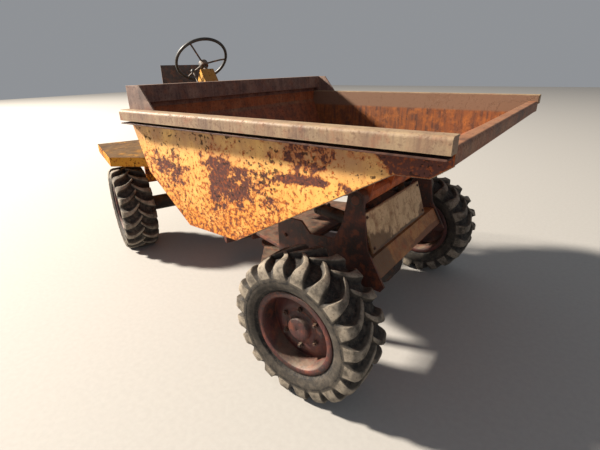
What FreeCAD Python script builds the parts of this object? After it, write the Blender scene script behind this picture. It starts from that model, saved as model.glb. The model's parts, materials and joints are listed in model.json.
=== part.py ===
"""Articulated site dumper: a tipping skip on the front half, the driver and engine on the rear half.

Millimetres. Pieces of the front half are drawn with X forward, Y left, Z up, and the origin on the
ground under the front axle. Pieces of the rear half are drawn the same way about the centre pivot,
straight behind the front half, and are then turned to the parked steering angle. Last, everything
moves so that the origin is on the ground, at the middle of the machine's footprint.
"""
import FreeCAD
import Part
import math
import os

V = FreeCAD.Vector

# General clearances and plate
pin_gap = 0.08           # radial play of a pin or shaft in its bore
face_gap = 0.3           # play between faces that slide past or seat on each other
run_gap = 6.0            # free space between pieces that pass each other
plate = 12.0             # chassis plate

# Wheels and axles
tyre_radius = 380.0      # to the tips of the lugs
tyre_width = 280.0
bead_radius = 200.0      # corner radius of the tyre's faceted bore
bead_half_width = 109.0
track = 1600.0           # between the middles of the two tyres on an axle
wheel_sides = 20         # facets round a tyre's carcass and its rim
lug_height = 28.0
lugs_per_row = 20
lug_lead = 10.0          # degrees by which a lug's nose runs ahead of its shoulder
lug_draft = 0.3          # how much a lug's flank leans out for each unit of depth
lug_depth = 50.0         # from a lug's top to its root inside the carcass
rim_flange_radius = 222.0
rim_sheet = 8.0
disc_inset = 40.0        # wheel disc's distance outwards from the tyre's middle
disc_dish = 28.0
hub_radius = 92.0
hub_length = 110.0
cap_radius = 62.0
cap_length = 30.0
spindle_radius = 36.0
spindle_reach = 50.0     # how far the spindle passes the tyre's middle
axle_tube_radius = 68.0
axle_flange_radius = 105.0
axle_flange_thick = 25.0
diff_radius = 140.0
diff_half_width = 120.0
diff_face_half = 55.0    # half width of the housing's widest part
axle_pad_half = 90.0
axle_pad_half_width = 40.0
axle_sides = 16          # facets round an axle's housing

# Skip: the outer outline of its side
skip_half_width = 880.0
skip_sheet = 8.0
skip_rear_x = -1125.0
skip_rear_fold = (-1130.0, 1290.0)
skip_rear_kink = (-1033.0, 1022.0)
skip_bottom_z = 760.0
skip_bottom_rear_x = -729.0
skip_bottom_front_x = -369.0
skip_front_kink = (427.0, 1210.0)
skip_front_foot = (549.0, 1213.0)
skip_lip_foot = (618.0, 1262.0)
lip_top = 1318.0
lip_flange = 50.0
rim_overhang = 57.0      # how far the side rims stand out past the sides
rim_top = 1358.0
rim_face = 55.0          # height of the rims' outer face
rim_round = 14.0
rim_sheet_thick = 6.0
rim_rear_x = -1140.0
rim_front_x = 622.0
rim_slot = 12.0          # slot between a rim's face and the strip under it
head_top = 1478.0        # raised rear end
head_depth = 60.0
head_face = 90.0
head_shoulder_x = -1000.0
head_toe_x = -900.0

# Skip hinge and tipping ram
hinge_x = 75.0
hinge_z = 940.0
hinge_boss = 48.0
hinge_pin = 22.0
hinge_tube = 40.0
hinge_web_rear = 190.0
hinge_web_front = 70.0
hinge_web_ys = (150.0, 400.0)
ear_foot_rear = 70.0      # how far the ram's ears spread on the floor, behind and ahead of their pin
ear_foot_front = 90.0
ram_base = (70.0, 575.0)
ram_eye = (-640.0, 665.0)
ram_pin = 16.0
cross_tube_radius = 24.0   # tube that holds the pin of the ram's foot
tip_ram = {"barrel": 42.0, "rod": 24.0, "barrel_length": 560.0, "bore_start": 80.0, "rod_start": 90.0,
           "boss": 30.0, "pin": ram_pin, "eye_width": 50.0}

# Front frame
frame_half_width = 480.0  # outer faces of the side plates
frame_bottom = 470.0
frame_rear_x = -436.0
frame_leg_x = -290.0      # front edge of the leg that carries the lower pivot plate
frame_nose = (255.0, 500.0)
frame_knee = (153.0, 680.0)
pivot_x = -935.0
pivot_z = 400.0
pivot_room = 260.0        # free height between the two pivot plates
pivot_plate = 20.0
pivot_tip_radius = 75.0
pivot_pin = 22.0
pivot_front_x = -330.0
pivot_shoulder = (-700.0, 398.0)  # where the gentle taper of the pivot plates turns in to the eye
nose_top = (115.0, 870.0)
nose_foot = (180.0, 668.0)
nose_thick = 10.0
nose_far_y = 250.0
beam_top = (166.0, 631.0)
beam_foot = (222.0, 533.0)
beam_flange = 60.0
beam_sheet = 8.0
shaft_radius = 28.0
shaft_joint = 40.0        # radius of the shaft's joint at the centre pivot
shaft_joint_half = 34.0
pinion_radius = 60.0
pinion_reach = 250.0

# Centre yoke and steering ram, about the pivot
trunnion_radius = 72.0
trunnion_bore = 54.0
trunnion_rear_x = -330.0
yoke_back_x = -100.0
yoke_back_thick = 30.0
yoke_half_width = 110.0
yoke_reach = 45.0
yoke_arm = 42.0
yoke_gap = 5.0
steer_arm_y = 200.0
steer_arm_thick = 15.0
steer_base_x = 620.0
steer_base_y = 300.0
steer_pin = 12.0
steer_ram = {"barrel": 30.0, "rod": 16.0, "barrel_length": 400.0, "bore_start": 55.0, "rod_start": 100.0,
             "boss": 24.0, "pin": steer_pin, "eye_width": 36.0}

# Rear frame, about the pivot
parked_angle = -20.4      # the rear half's turn at the centre pivot as parked, seen from above
rear_axle_x = -1214.0
rail_half_width = 300.0
rail_bottom = 470.0
rail_top = 640.0
rail_rear_x = -2000.0
bearing_x = -190.0
bearing_thick = 30.0
bearing_foot = 260.0
bearing_wall = 28.0
gearbox_rear_x = -900.0
gearbox_front_x = -560.0
gearbox_half_width = 130.0
gearbox_bottom = 330.0
gearbox_top = 580.0
floor_front_x = -430.0
floor_half_width = 440.0
floor_sheet = 6.0
fender_z = 900.0
fender_half_width = 935.0
fender_edge = 76.0
fender_sheet = 6.0
fender_corner_x = -993.0
fender_front_x = -604.0
fender_rear_x = -1760.0
cover_front_x = -1330.0
cover_half_width = 330.0
cover_top = 1080.0
cover_sheet = 5.0
grille_slot = 24.0
grille_pitch = 50.0
grille_count = 6
grille_half_width = 220.0
lid_overhang = 6.0        # the cover's lid stands out past its walls
lid_depth = 30.0
engine_gap = 60.0
engine_half_width = 220.0
weight_thick = 70.0
weight_half_width = 500.0
weight_bottom = 380.0
weight_top = 800.0
hitch_bore = 14.0
hitch_plate = 15.0
hitch_half_width = 40.0
hitch_reach = 50.0
hitch_z = 470.0
hitch_mouth = 60.0
seat_half_width = 230.0
seat_front_x = -1360.0
seat_rear_x = -1670.0
seat_base_height = 50.0
seat_pad = 90.0
back_x = -1690.0
back_thick = 10.0
back_top = 1600.0
back_foot = 1260.0
back_half_width = 240.0
back_post = 30.0
back_post_y = 120.0
console_half_width = 110.0
console_depth = 170.0      # front to back, at the floor
console_knee = 1300.0      # height at which the console leans back along the column
housing_half_width = 60.0  # the leaning part of the console round the column
housing_above = 25.0       # from the column's middle line to the top face
housing_below = 110.0
housing_gap = 85.0         # from the steering wheel's hub to the end of the housing
wheel_hub = (-1130.0, 1600.0)
column_lean = 45.0
column_radius = 18.0
column_core = 10.0
steering_radius = 240.0
steering_tube = 13.0
steering_dish = 45.0
steering_hub = 42.0
steering_hub_low = 35.0   # how far the hub reaches below its middle, and above it
steering_hub_high = 22.0
steering_spoke = 8.0
steering_sides = 24       # facets round the steering wheel's ring
lever_radius = 9.0
lever_knob = 20.0
gear_lever_foot = (-860.0, -220.0)
gear_lever_rise = 430.0
gear_lever_lean = 120.0   # how far the gear lever leans back over its height
tip_lever_start = 330.0   # the tipping lever's pivot, down the column from the steering wheel's hub
tip_lever_drop = 45.0     # and below the column's middle line
tip_lever_side = 40.0     # and out of the housing's right side
tip_lever_reach = 290.0
tank_length = 420.0
tank_width = 150.0
tank_height = 260.0
tank_round = 40.0
tank_cap = 32.0
silencer_radius = 60.0
silencer_length = 360.0
silencer_x = -1560.0
exhaust_pipe = 22.0

# Sizes that follow
rim_radius = bead_radius - face_gap / math.cos(math.pi / wheel_sides)
rim_half_width = skip_half_width + rim_overhang
hub_face = track / 2 + disc_inset - hub_length
frame_inner = frame_half_width - plate
skip_inner = skip_half_width - skip_sheet
pivot_low = pivot_z - pivot_room / 2
pivot_high = pivot_z + pivot_room / 2
floor_top = rail_top + floor_sheet
weight_rear_x = rail_rear_x - weight_thick
hitch_x = weight_rear_x - hitch_reach
knee_down = (wheel_hub[1] - console_knee) / math.cos(math.radians(column_lean))

made = {}


def box(x0, x1, y0, y1, z0, z1):
    return Part.makeBox(x1 - x0, y1 - y0, z1 - z0, V(x0, y0, z0))


def face_of(points):
    return Part.Face(Part.makePolygon(points + [points[0]]))


def prism_y(xz, y0, y1):
    return face_of([V(x, y0, z) for x, z in xz]).extrude(V(0, y1 - y0, 0))


def prism_z(xy, z0, z1):
    return face_of([V(x, y, z0) for x, y in xy]).extrude(V(0, 0, z1 - z0))


def solid_of(faces):
    solid = Part.Solid(Part.Shell(faces))
    if solid.Volume < 0:
        solid.reverse()
    return solid


def stack(sections):
    """A solid through a row of like polygons, with flat faces from each one to the next."""
    faces = [face_of(sections[0]), face_of(sections[-1])]
    for a, b in zip(sections, sections[1:]):
        for j in range(len(a)):
            k = (j + 1) % len(a)
            faces.append(face_of([a[j], a[k], b[k], b[j]]))
    return solid_of(faces)


def corners_about(centre, axis, radius, sides):
    """Corners of a regular polygon about a point, square to an axis."""
    n = V(axis).normalize()
    u = n.cross(V(1, 0, 0) if abs(n.y) > 0.9 else V(0, 1, 0)).normalize()
    v = n.cross(u)
    turns = [2 * math.pi * i / sides for i in range(sides)]
    return [centre + u * (radius * math.cos(turn)) + v * (radius * math.sin(turn)) for turn in turns]


def rod(start, end, radius):
    """A true cylinder, for pins, shafts and bores that fit each other."""
    axis = end - start
    return Part.makeCylinder(radius, axis.Length, start, axis)


def bar(start, end, radius, sides=12):
    """A round piece drawn with flats, for what nothing turns on."""
    return face_of(corners_about(start, end - start, radius, sides)).extrude(end - start)


def across(x, z, radius, y0, y1, make=rod):
    return make(V(x, y0, z), V(x, y1, z), radius)


def upright(x, y, radius, z0, z1, make=rod):
    return make(V(x, y, z0), V(x, y, z1), radius)


def along(radius, x0, x1, make=rod):
    return make(V(x0, 0, pivot_z), V(x1, 0, pivot_z), radius)


def mirror_y(shape):
    return shape.mirror(V(0, 0, 0), V(0, 1, 0))


def both_sides(shape):
    return Part.makeCompound([shape, mirror_y(shape)])


def closed_face(points, arcs):
    """A face bounded by straight edges, with an arc after each point whose index is in arcs."""
    edges = []
    for i, start in enumerate(points):
        end = points[(i + 1) % len(points)]
        if i in arcs:
            edges.append(Part.Arc(start, arcs[i], end).toShape())
        else:
            edges.append(Part.LineSegment(start, end).toShape())
    return Part.Face(Part.Wire(edges))


def bent_sheet(path, thick):
    """Outline of a folded sheet whose outer face follows path, with its thickness to the left of it."""
    sides = []
    for (x0, z0), (x1, z1) in zip(path, path[1:]):
        length = math.hypot(x1 - x0, z1 - z0)
        nx = -(z1 - z0) / length * thick
        nz = (x1 - x0) / length * thick
        sides.append(((x0 + nx, z0 + nz), (x1 + nx, z1 + nz)))
    inner = [sides[0][0]]
    for (a, b), (c, d) in zip(sides, sides[1:]):
        turn = (b[0] - a[0]) * (d[1] - c[1]) - (b[1] - a[1]) * (d[0] - c[0])
        share = ((c[0] - a[0]) * (d[1] - c[1]) - (c[1] - a[1]) * (d[0] - c[0])) / turn
        inner.append((a[0] + share * (b[0] - a[0]), a[1] + share * (b[1] - a[1])))
    inner.append(sides[-1][1])
    return list(path) + inner[::-1]


def faceted_ring(profile, sides):
    """A ring about the Y axis with flat facets. The profile is a closed loop of (y, corner radius)."""
    rows = []
    for i in range(sides):
        turn = 2 * math.pi * i / sides
        rows.append([V(r * math.cos(turn), y, r * math.sin(turn)) for y, r in profile])
    faces = []
    for a, b in zip(rows, rows[1:] + rows[:1]):
        for j in range(len(profile)):
            k = (j + 1) % len(profile)
            faces.append(face_of([a[j], a[k], b[k], b[j]]))
    return solid_of(faces)


def drum(stations, sides):
    """A solid of round sections along the Y axis. The stations are (y, corner radius)."""
    return stack([corners_about(V(0, y, 0), V(0, 1, 0), r, sides) for y, r in stations])


def rolled_edge(edge, top, back, foot, thick):
    """Outline of a folded edge, flange from back to edge and face down to foot, and its bend's middle."""
    outline = [(back, top), (edge - rim_round, top), (edge, top - rim_round), (edge, foot),
               (edge - thick, foot), (edge - thick, top - rim_round), (edge - rim_round, top - thick),
               (back, top - thick)]
    bend = rim_round * (1 - math.sqrt(0.5))
    return outline, (edge - bend, top - bend)


def rounded_box(x0, x1, y0, y1, z0, z1, radius):
    """A box whose four long edges, along X, are rounded."""
    shape = box(x0, x1, y0, y1, z0, z1)
    long_edges = [edge for edge in shape.Edges if abs(edge.tangentAt(edge.FirstParameter).x) > 0.9]
    return shape.makeFillet(radius, long_edges)


def keep(name, shape, half="front"):
    """Files a piece under its name, turned to the parked angle if it belongs to the rear half."""
    shape = shape.copy()
    if half == "rear":
        shape.rotate(V(0, 0, 0), V(0, 0, 1), parked_angle)
        shape.translate(V(pivot_x, 0, 0))
    made[name] = shape


# Wheels, drawn about their own centre with the outer side towards -Y

def lug():
    """One tread bar of the left row, at the top of the tyre, from its nose by the middle to the shoulder."""
    stations = (          # share of the half width, half width of the top, drop of the top, lead of the nose
        (-0.05, 12.0, 2.0, lug_lead),
        (0.86, 22.0, 8.0, 0.0))
    sections = []
    for share, half, drop, ahead in stations:
        y = share * tyre_width / 2
        lead = math.radians(ahead) * tyre_radius
        top = math.sqrt((tyre_radius - drop) ** 2 - (lead + half) ** 2)
        foot = half + lug_draft * lug_depth
        sections.append([V(lead - foot, y, top - lug_depth), V(lead - half, y, top), V(lead + half, y, top),
                         V(lead + foot, y, top - lug_depth)])
    return stack(sections)


def tyre():
    """Rounded carcass with two rows of swept lugs, the second row half a pitch on from the first."""
    half = tyre_width / 2
    flange = rim_flange_radius + 4.0
    side = [(bead_half_width, bead_radius), (bead_half_width, flange), (half, tyre_radius * 0.77),
            (half * 0.5, tyre_radius - lug_height)]
    carcass = faceted_ring(side + [(-y, r) for y, r in reversed(side)], wheel_sides)
    pitch = 360.0 / lugs_per_row
    lugs = []
    for row, first in ((0, lug()), (1, mirror_y(lug()))):
        for i in range(lugs_per_row):
            one = first.copy()
            one.rotate(V(0, 0, 0), V(0, 1, 0), (i + 0.5 * row) * pitch)
            lugs.append(one)
    return carcass.fuse(lugs)


def rim():
    """Rim barrel with two flanges, a dished disc, and the hub that runs on the axle's spindle."""
    inner = rim_radius - rim_sheet
    edge = bead_half_width + face_gap
    disc = -disc_inset
    face = disc - rim_sheet
    barrel = faceted_ring([(-edge - rim_sheet, inner), (-edge - rim_sheet, rim_flange_radius),
                           (-edge, rim_flange_radius), (-edge, rim_radius), (edge, rim_radius),
                           (edge, rim_flange_radius), (edge + rim_sheet, rim_flange_radius),
                           (edge + rim_sheet, inner)], wheel_sides)
    dish_profile = [(face, hub_radius - 3.0), (face + disc_dish, inner + 1.0),
                    (disc + disc_dish, inner + 1.0),
                    (disc, hub_radius - 3.0)]
    dish = faceted_ring(dish_profile, wheel_sides)
    hub = drum([(face - cap_length, cap_radius * 0.85), (face, cap_radius), (face, hub_radius),
                (disc + hub_length, hub_radius)], wheel_sides)
    bore = across(0, 0, spindle_radius + pin_gap, -spindle_reach - run_gap, disc + hub_length + 1)
    return barrel.fuse([dish, hub]).cut(bore)


def axle(x, pad_y, nose):
    """Drive axle: housing with its differential, nose and end flanges, spindles, and pads at pad_y."""
    end = hub_face - run_gap
    flange = end - axle_flange_thick
    half = [(diff_face_half, diff_radius), (diff_half_width, axle_tube_radius), (flange, axle_tube_radius),
            (flange, axle_flange_radius), (end, axle_flange_radius)]
    housing = drum([(-y, r) for y, r in reversed(half)] + half, axle_sides)
    housing.translate(V(x, 0, tyre_radius))
    spindle = across(x, tyre_radius, spindle_radius, end - 1, track / 2 + spindle_reach)
    w = axle_pad_half_width
    pad = box(x - axle_pad_half, x + axle_pad_half, pad_y - w, pad_y + w, tyre_radius, frame_bottom)
    pinion = along(pinion_radius, x, x + nose, bar)
    return housing.fuse([spindle, mirror_y(spindle), pad, mirror_y(pad), pinion])


def ram(base, eye, pin_axis, size):
    """Barrel with its foot eye and rod with its end eye, along the line from base to eye."""
    axis = (eye - base).normalize()
    half = pin_axis * (size["eye_width"] / 2)
    mouth = base + axis * size["barrel_length"]
    foot = base + axis * (size["boss"] + run_gap)
    barrel = bar(foot, mouth, size["barrel"]).fuse([bar(base, foot, size["eye_width"] / 2 - 1.0),
                                                    bar(base - half, base + half, size["boss"])])
    slot = half * 3
    for tool in (rod(base - slot, base + slot, size["pin"] + pin_gap),
                 rod(base + axis * size["bore_start"], mouth + axis, size["rod"] + pin_gap)):
        barrel = barrel.cut(tool)
    stem = rod(base + axis * size["rod_start"], eye, size["rod"])
    return barrel, stem.fuse(bar(eye - half, eye + half, size["boss"]))


# Front half

def front_side_plates():
    """The two side plates, each with a boss round the skip's hinge pin at its top."""
    y = frame_inner
    foot_z = pivot_low - pivot_plate
    saddle_z = skip_bottom_z - run_gap
    outline = [frame_nose, frame_knee, (hinge_x + hinge_boss, hinge_z - 50.0),
               (hinge_x + hinge_boss, hinge_z), (hinge_x - hinge_boss, hinge_z), (0.0, 800.0),
               (-50.0, 700.0), (-205.0, 690.0),
               (-265.0, saddle_z), (frame_rear_x, saddle_z), (frame_rear_x, foot_z), (frame_leg_x, foot_z),
               (frame_leg_x + 40.0, frame_bottom), (frame_nose[0] - 20.0, frame_bottom)]
    points = [V(x, y, z) for x, z in outline]
    side = closed_face(points, {3: V(hinge_x, y, hinge_z + hinge_boss)}).extrude(V(0, plate, 0))
    return both_sides(side.cut(across(hinge_x, hinge_z, hinge_pin + pin_gap, 0, frame_half_width + 1)))


def nose_plate():
    return prism_y(bent_sheet([nose_foot, nose_top], nose_thick), -frame_inner, nose_far_y)


def nose_beam():
    """Folded step beam across the nose, open to the rear."""
    (x0, z0), (x1, z1) = beam_top, beam_foot
    path = [(x1 - beam_flange, z1 - 5.0), (x1, z1), (x0, z0), (x0 - beam_flange, z0 - 5.0)]
    return prism_y(bent_sheet(path, beam_sheet), -frame_inner, frame_inner)


def pivot_plates():
    """The two plates that carry the centre pivot: a gentle taper, then in to a round eye."""
    pieces = []
    left = [(pivot_x, pivot_tip_radius), pivot_shoulder, (frame_rear_x, frame_inner),
            (pivot_front_x, frame_inner)]
    outline = [(pivot_x, -pivot_tip_radius)] + left + [(x, -y) for x, y in left[:0:-1]]
    for z0 in (pivot_low - pivot_plate, pivot_high):
        points = [V(x, y, z0) for x, y in outline]
        shape = closed_face(points, {0: V(pivot_x - pivot_tip_radius, 0, z0)}).extrude(V(0, 0, pivot_plate))
        pieces.append(shape.cut(upright(pivot_x, 0, pivot_pin + pin_gap, z0 - 1, z0 + pivot_plate + 1)))
    return Part.makeCompound(pieces)


def steering_foot():
    """Bracket on the left side plate that holds the foot of the steering ram, with its pin."""
    x = pivot_x + steer_base_x
    ear_gap = steer_ram["eye_width"] / 2 + 2.0
    pieces = [box(x - 40.0, x + 40.0, frame_inner - 10.0, frame_inner, pivot_z - 40.0, frame_bottom + 60.0)]
    for z0 in (pivot_z - ear_gap - steer_arm_thick, pivot_z + ear_gap):
        pieces.append(box(x - steer_ram["boss"], x + 40.0, steer_base_y - 35.0, frame_inner,
                          z0, z0 + steer_arm_thick))
    pin = upright(x, steer_base_y, steer_pin, pivot_z - ear_gap - 1, pivot_z + ear_gap + 1)
    return pin.fuse(pieces)


def ram_cross_tube():
    """Cross tube between the side plates: collars, and a pin through the foot of the tipping ram."""
    x, z = ram_base
    gap = tip_ram["eye_width"] / 2 + 2.0
    half = [across(x, z, tip_ram["boss"], gap, gap + 40.0, bar),
            across(x, z, cross_tube_radius, gap + 39.0, frame_inner, bar)]
    pin = across(x, z, ram_pin, -gap - 1.0, gap + 1.0)
    return pin.fuse(half + [mirror_y(piece) for piece in half])


def front_shaft():
    """Shaft from the front axle's nose to its joint at the centre pivot."""
    joint = upright(pivot_x, 0, shaft_joint, pivot_z - shaft_joint_half, pivot_z + shaft_joint_half, bar)
    return along(shaft_radius, pivot_x, -pinion_reach, bar).fuse(joint)


keep("front_side_plates", front_side_plates())
keep("nose_plate", nose_plate())
keep("nose_beam", nose_beam())
keep("pivot_plates", pivot_plates())
keep("steering_foot", steering_foot())
keep("ram_cross_tube", ram_cross_tube())
keep("front_axle", axle(0.0, frame_half_width - plate / 2, -pinion_reach))
keep("front_shaft", front_shaft())

# Skip

lip_x, lip_foot_z = skip_lip_foot
skip_path = [(skip_rear_x, rim_top), skip_rear_fold, skip_rear_kink, (skip_bottom_rear_x, skip_bottom_z),
             (skip_bottom_front_x, skip_bottom_z), skip_front_kink, skip_front_foot, skip_lip_foot]


def skip_floor():
    """Rear wall, bottom, front slope and rolled lip: one folded sheet between the sides."""
    path = skip_path + [(lip_x, lip_foot_z + 20.0)]
    sheet = prism_y(bent_sheet(path, skip_sheet), -skip_inner, skip_inner)
    outline, bend = rolled_edge(lip_x, lip_top, lip_x - lip_flange, lip_foot_z + 10.0, skip_sheet)
    points = [V(x, -skip_inner, z) for x, z in outline]
    lip = closed_face(points, {1: V(bend[0], -skip_inner, bend[1])}).extrude(V(0, 2 * skip_inner, 0))
    return sheet.fuse(lip).removeSplitter()


def skip_side():
    """Side sheet with the strip that stands out under the rim. Left side."""
    edge = rim_top - rim_sheet_thick
    side = prism_y(skip_path[1:] + [(lip_x, edge), (skip_rear_fold[0], edge)], skip_inner, skip_half_width)
    strip_top = rim_top - rim_face - rim_slot
    strip = box(rim_rear_x, rim_front_x - 10.0, skip_half_width, rim_half_width - 2.0,
                strip_top - rim_sheet_thick, strip_top)
    return side.fuse(strip)


def skip_rim():
    """Rolled rim: a top flange and an outer face, closed at both ends. Left side."""
    t = rim_sheet_thick
    foot = rim_top - rim_face
    outline, bend = rolled_edge(rim_half_width, rim_top, skip_inner, foot, t)
    points = [V(rim_rear_x, y, z) for y, z in outline]
    section = closed_face(points, {1: V(rim_rear_x, bend[0], bend[1])})
    fold = section.extrude(V(rim_front_x - rim_rear_x, 0, 0))
    caps = []
    for x in (rim_rear_x, rim_front_x - t):
        caps.append(box(x, x + t, skip_half_width, rim_half_width - t + 1, foot, rim_top - rim_round))
        caps.append(box(x, x + t, skip_half_width, rim_half_width - rim_round, foot, rim_top - t + 1))
    return fold.fuse(caps)


def skip_head():
    """Raised rear end: a hollow rim across the top and a sloped return down to each side rim."""
    x0 = skip_rear_x
    t = rim_sheet_thick
    bar = box(x0, x0 + head_depth, -skip_inner, skip_inner, head_top - head_face, head_top)
    hollow = box(x0 + t, x0 + head_depth - t, -skip_inner, skip_inner,
                 head_top - head_face + t, head_top - t)
    wall = box(x0, x0 + skip_sheet, -skip_inner, skip_inner, rim_top, head_top - head_face)
    side = prism_y([(x0, rim_top), (head_toe_x, rim_top), (head_shoulder_x, head_top), (x0, head_top)],
                   skip_inner, skip_half_width)
    return bar.cut(hollow).fuse([wall, side, mirror_y(side)])


def skip_hinge():
    """Hinge tube with its pins, the webs up to the floor, and the ears for the tipping ram's eye."""
    slope = (skip_front_kink[1] - skip_bottom_z) / (skip_front_kink[0] - skip_bottom_front_x)
    rear_x = hinge_x - hinge_web_rear
    front_x = hinge_x + hinge_web_front
    rear_z = skip_bottom_z + slope * (rear_x - skip_bottom_front_x)
    front_z = skip_bottom_z + slope * (front_x - skip_bottom_front_x)
    inner = frame_inner - run_gap
    pin = across(hinge_x, hinge_z, hinge_pin, inner - 1.0, frame_half_width + 8.0)
    pieces = [pin, mirror_y(pin)]
    for y in hinge_web_ys:
        web = prism_y([(hinge_x - hinge_tube, hinge_z), (hinge_x + hinge_tube, hinge_z), (front_x, front_z),
                       (rear_x, rear_z)], y, y + plate)
        pieces += [web, mirror_y(web)]
    hinge = across(hinge_x, hinge_z, hinge_tube, -inner, inner, bar).fuse(pieces)
    x, z = ram_eye
    gap = tip_ram["eye_width"] / 2 + run_gap
    boss = tip_ram["boss"]
    ear = prism_y([(x - ear_foot_rear, skip_bottom_z), (x + ear_foot_front, skip_bottom_z),
                   (x + boss, z - boss), (x - boss, z - boss)], gap, gap + plate)
    pin_end = across(x, z, ram_pin, gap + plate - 1.0, gap + plate + 12.0, bar)
    ear = ear.fuse(pin_end)
    return Part.makeCompound([hinge, ear, mirror_y(ear)])


keep("skip_floor", skip_floor())
keep("skip_side_left", skip_side())
keep("skip_side_right", mirror_y(skip_side()))
keep("skip_rim_left", skip_rim())
keep("skip_rim_right", mirror_y(skip_rim()))
keep("skip_head", skip_head())
keep("skip_hinge", skip_hinge())

barrel, stem = ram(V(ram_base[0], 0, ram_base[1]), V(ram_eye[0], 0, ram_eye[1]), V(0, 1, 0), tip_ram)
keep("tip_ram_barrel", barrel)
keep("tip_ram_rod", stem)

# Centre yoke, about the pivot and along the rear half, and the steering ram


def centre_yoke():
    """Two pivot arms on a back plate, the hollow trunnion behind it, and the steering arm."""
    low = pivot_low + yoke_gap
    high = pivot_high - yoke_gap
    rear = yoke_back_x - yoke_back_thick
    pieces = [along(trunnion_radius, trunnion_rear_x, rear)]
    for z0 in (low, high - yoke_arm):
        pieces.append(box(yoke_back_x, 0, -yoke_reach, yoke_reach, z0, z0 + yoke_arm))
        pieces.append(upright(0, 0, yoke_reach, z0, z0 + yoke_arm, bar))
    pieces.append(upright(0, 0, pivot_pin, pivot_low - pivot_plate - 12.0, low + yoke_arm))
    pieces.append(upright(0, 0, pivot_pin, high - yoke_arm, pivot_high + pivot_plate + 12.0))
    ear_gap = steer_ram["eye_width"] / 2 + 5.0
    arm = [(rear + 10.0, yoke_half_width), (rear + 10.0, 70.0), (yoke_back_x, 70.0),
           (30.0, steer_arm_y - 30.0), (30.0, steer_arm_y + 30.0), (-30.0, steer_arm_y + 30.0)]
    for z0 in (pivot_z - ear_gap - steer_arm_thick, pivot_z + ear_gap):
        pieces.append(prism_z(arm, z0, z0 + steer_arm_thick))
    back = box(rear, yoke_back_x, -yoke_half_width, yoke_half_width, low, high)
    return back.fuse(pieces).cut(along(trunnion_bore, trunnion_rear_x - 5.0, yoke_back_x + 5.0, bar))


def steering_ram():
    turn = math.radians(parked_angle)
    eye = V(pivot_x - steer_arm_y * math.sin(turn), steer_arm_y * math.cos(turn), pivot_z)
    return ram(V(pivot_x + steer_base_x, steer_base_y, pivot_z), eye, V(0, 0, 1), steer_ram)


keep("centre_yoke", centre_yoke(), "rear")
barrel, stem = steering_ram()
keep("steer_ram_barrel", barrel)
keep("steer_ram_rod", stem)

# Rear half


def bearing_plate():
    """Front plate of the rear frame, with the housing that the yoke's trunnion turns in."""
    x0 = bearing_x - bearing_thick
    front = box(x0, bearing_x, -rail_half_width, rail_half_width, bearing_foot, rail_top)
    housing = along(trunnion_radius + bearing_wall, trunnion_rear_x - 20.0, bearing_x, bar)
    return front.fuse(housing).cut(along(trunnion_radius + pin_gap, trunnion_rear_x - 30.0, bearing_x + 1))


def rear_rails():
    x0 = bearing_x - bearing_thick
    rail = prism_y([(x0, bearing_foot), (x0, rail_top), (rail_rear_x, rail_top), (rail_rear_x, rail_bottom),
                    (floor_front_x, rail_bottom)], rail_half_width - plate, rail_half_width)
    return both_sides(rail)


def gearbox():
    """Shaft through the trunnion to the gearbox between the rails, and on to the rear axle."""
    x0, x1, w = gearbox_rear_x, gearbox_front_x, gearbox_half_width
    side_view = [(x0, gearbox_bottom + 60.0), (x0 + 60.0, gearbox_bottom), (x1 - 60.0, gearbox_bottom),
                 (x1, gearbox_bottom + 40.0), (x1, gearbox_top - 60.0), (x1 - 60.0, gearbox_top),
                 (x0, gearbox_top)]
    case = prism_y(side_view, -w, w)
    foot = box(x0 + 40.0, x0 + 80.0, w, rail_half_width - plate, rail_bottom + 10.0, rail_bottom + 50.0)
    shaft = along(shaft_radius, x1 - 1.0, -shaft_joint - run_gap, bar)
    link = along(shaft_radius, rear_axle_x + pinion_reach, x0 + 1.0, bar)
    return case.fuse([shaft, link, foot, mirror_y(foot)])


def counterweight():
    """Rear slab with chamfered corners and the two-plate tow hitch."""
    w = weight_half_width
    x0 = weight_rear_x
    slab = prism_z([(rail_rear_x, w), (rail_rear_x, -w), (x0 + 30.0, -w), (x0, -w + 60.0), (x0, w - 60.0),
                    (x0 + 30.0, w)], weight_bottom, weight_top)
    ears = []
    for z0 in (hitch_z - hitch_mouth / 2 - hitch_plate, hitch_z + hitch_mouth / 2):
        ears.append(box(hitch_x, x0, -hitch_half_width, hitch_half_width, z0, z0 + hitch_plate))
        ears.append(upright(hitch_x, 0, hitch_half_width, z0, z0 + hitch_plate, bar))
    return slab.fuse(ears).cut(upright(hitch_x, 0, hitch_bore, hitch_z - 100.0, hitch_z + 100.0))


def engine_block():
    w = engine_half_width
    block = box(rail_rear_x + engine_gap, cover_front_x - engine_gap, -w, w,
                rail_bottom + 30.0, cover_top - engine_gap)
    feet = []
    for x in (rail_rear_x + 120.0, cover_front_x - 180.0):
        foot = box(x, x + 60.0, w, rail_half_width - plate, rail_bottom + 60.0, rail_bottom + 90.0)
        feet += [foot, mirror_y(foot)]
    return block.fuse(feet)


def engine_cover():
    """Sheet cover and its lid over the engine, open below, with side louvres and a grille at the rear."""
    t = cover_sheet
    w = cover_half_width
    over = lid_overhang
    outer = box(rail_rear_x, cover_front_x, -w, w, rail_top, cover_top - 1)
    lid = box(rail_rear_x - over, cover_front_x + over, -w - over, w + over,
              cover_top - lid_depth, cover_top)
    inner = box(rail_rear_x + t, cover_front_x - t, -w + t, w - t, rail_top - 1, cover_top - t)
    slots = []
    for i in range(grille_count):
        x = rail_rear_x + 150.0 + i * grille_pitch
        slots.append(box(x, x + grille_slot, -w - 1, w + 1, fender_z + 40.0, cover_top - lid_depth - 15.0))
        z = rail_top + 90.0 + i * grille_pitch
        slots.append(box(rail_rear_x - 1, rail_rear_x + t + 1, -grille_half_width, grille_half_width,
                         z, z + grille_slot))
    return outer.fuse(lid).cut(inner).cut(slots)


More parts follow.
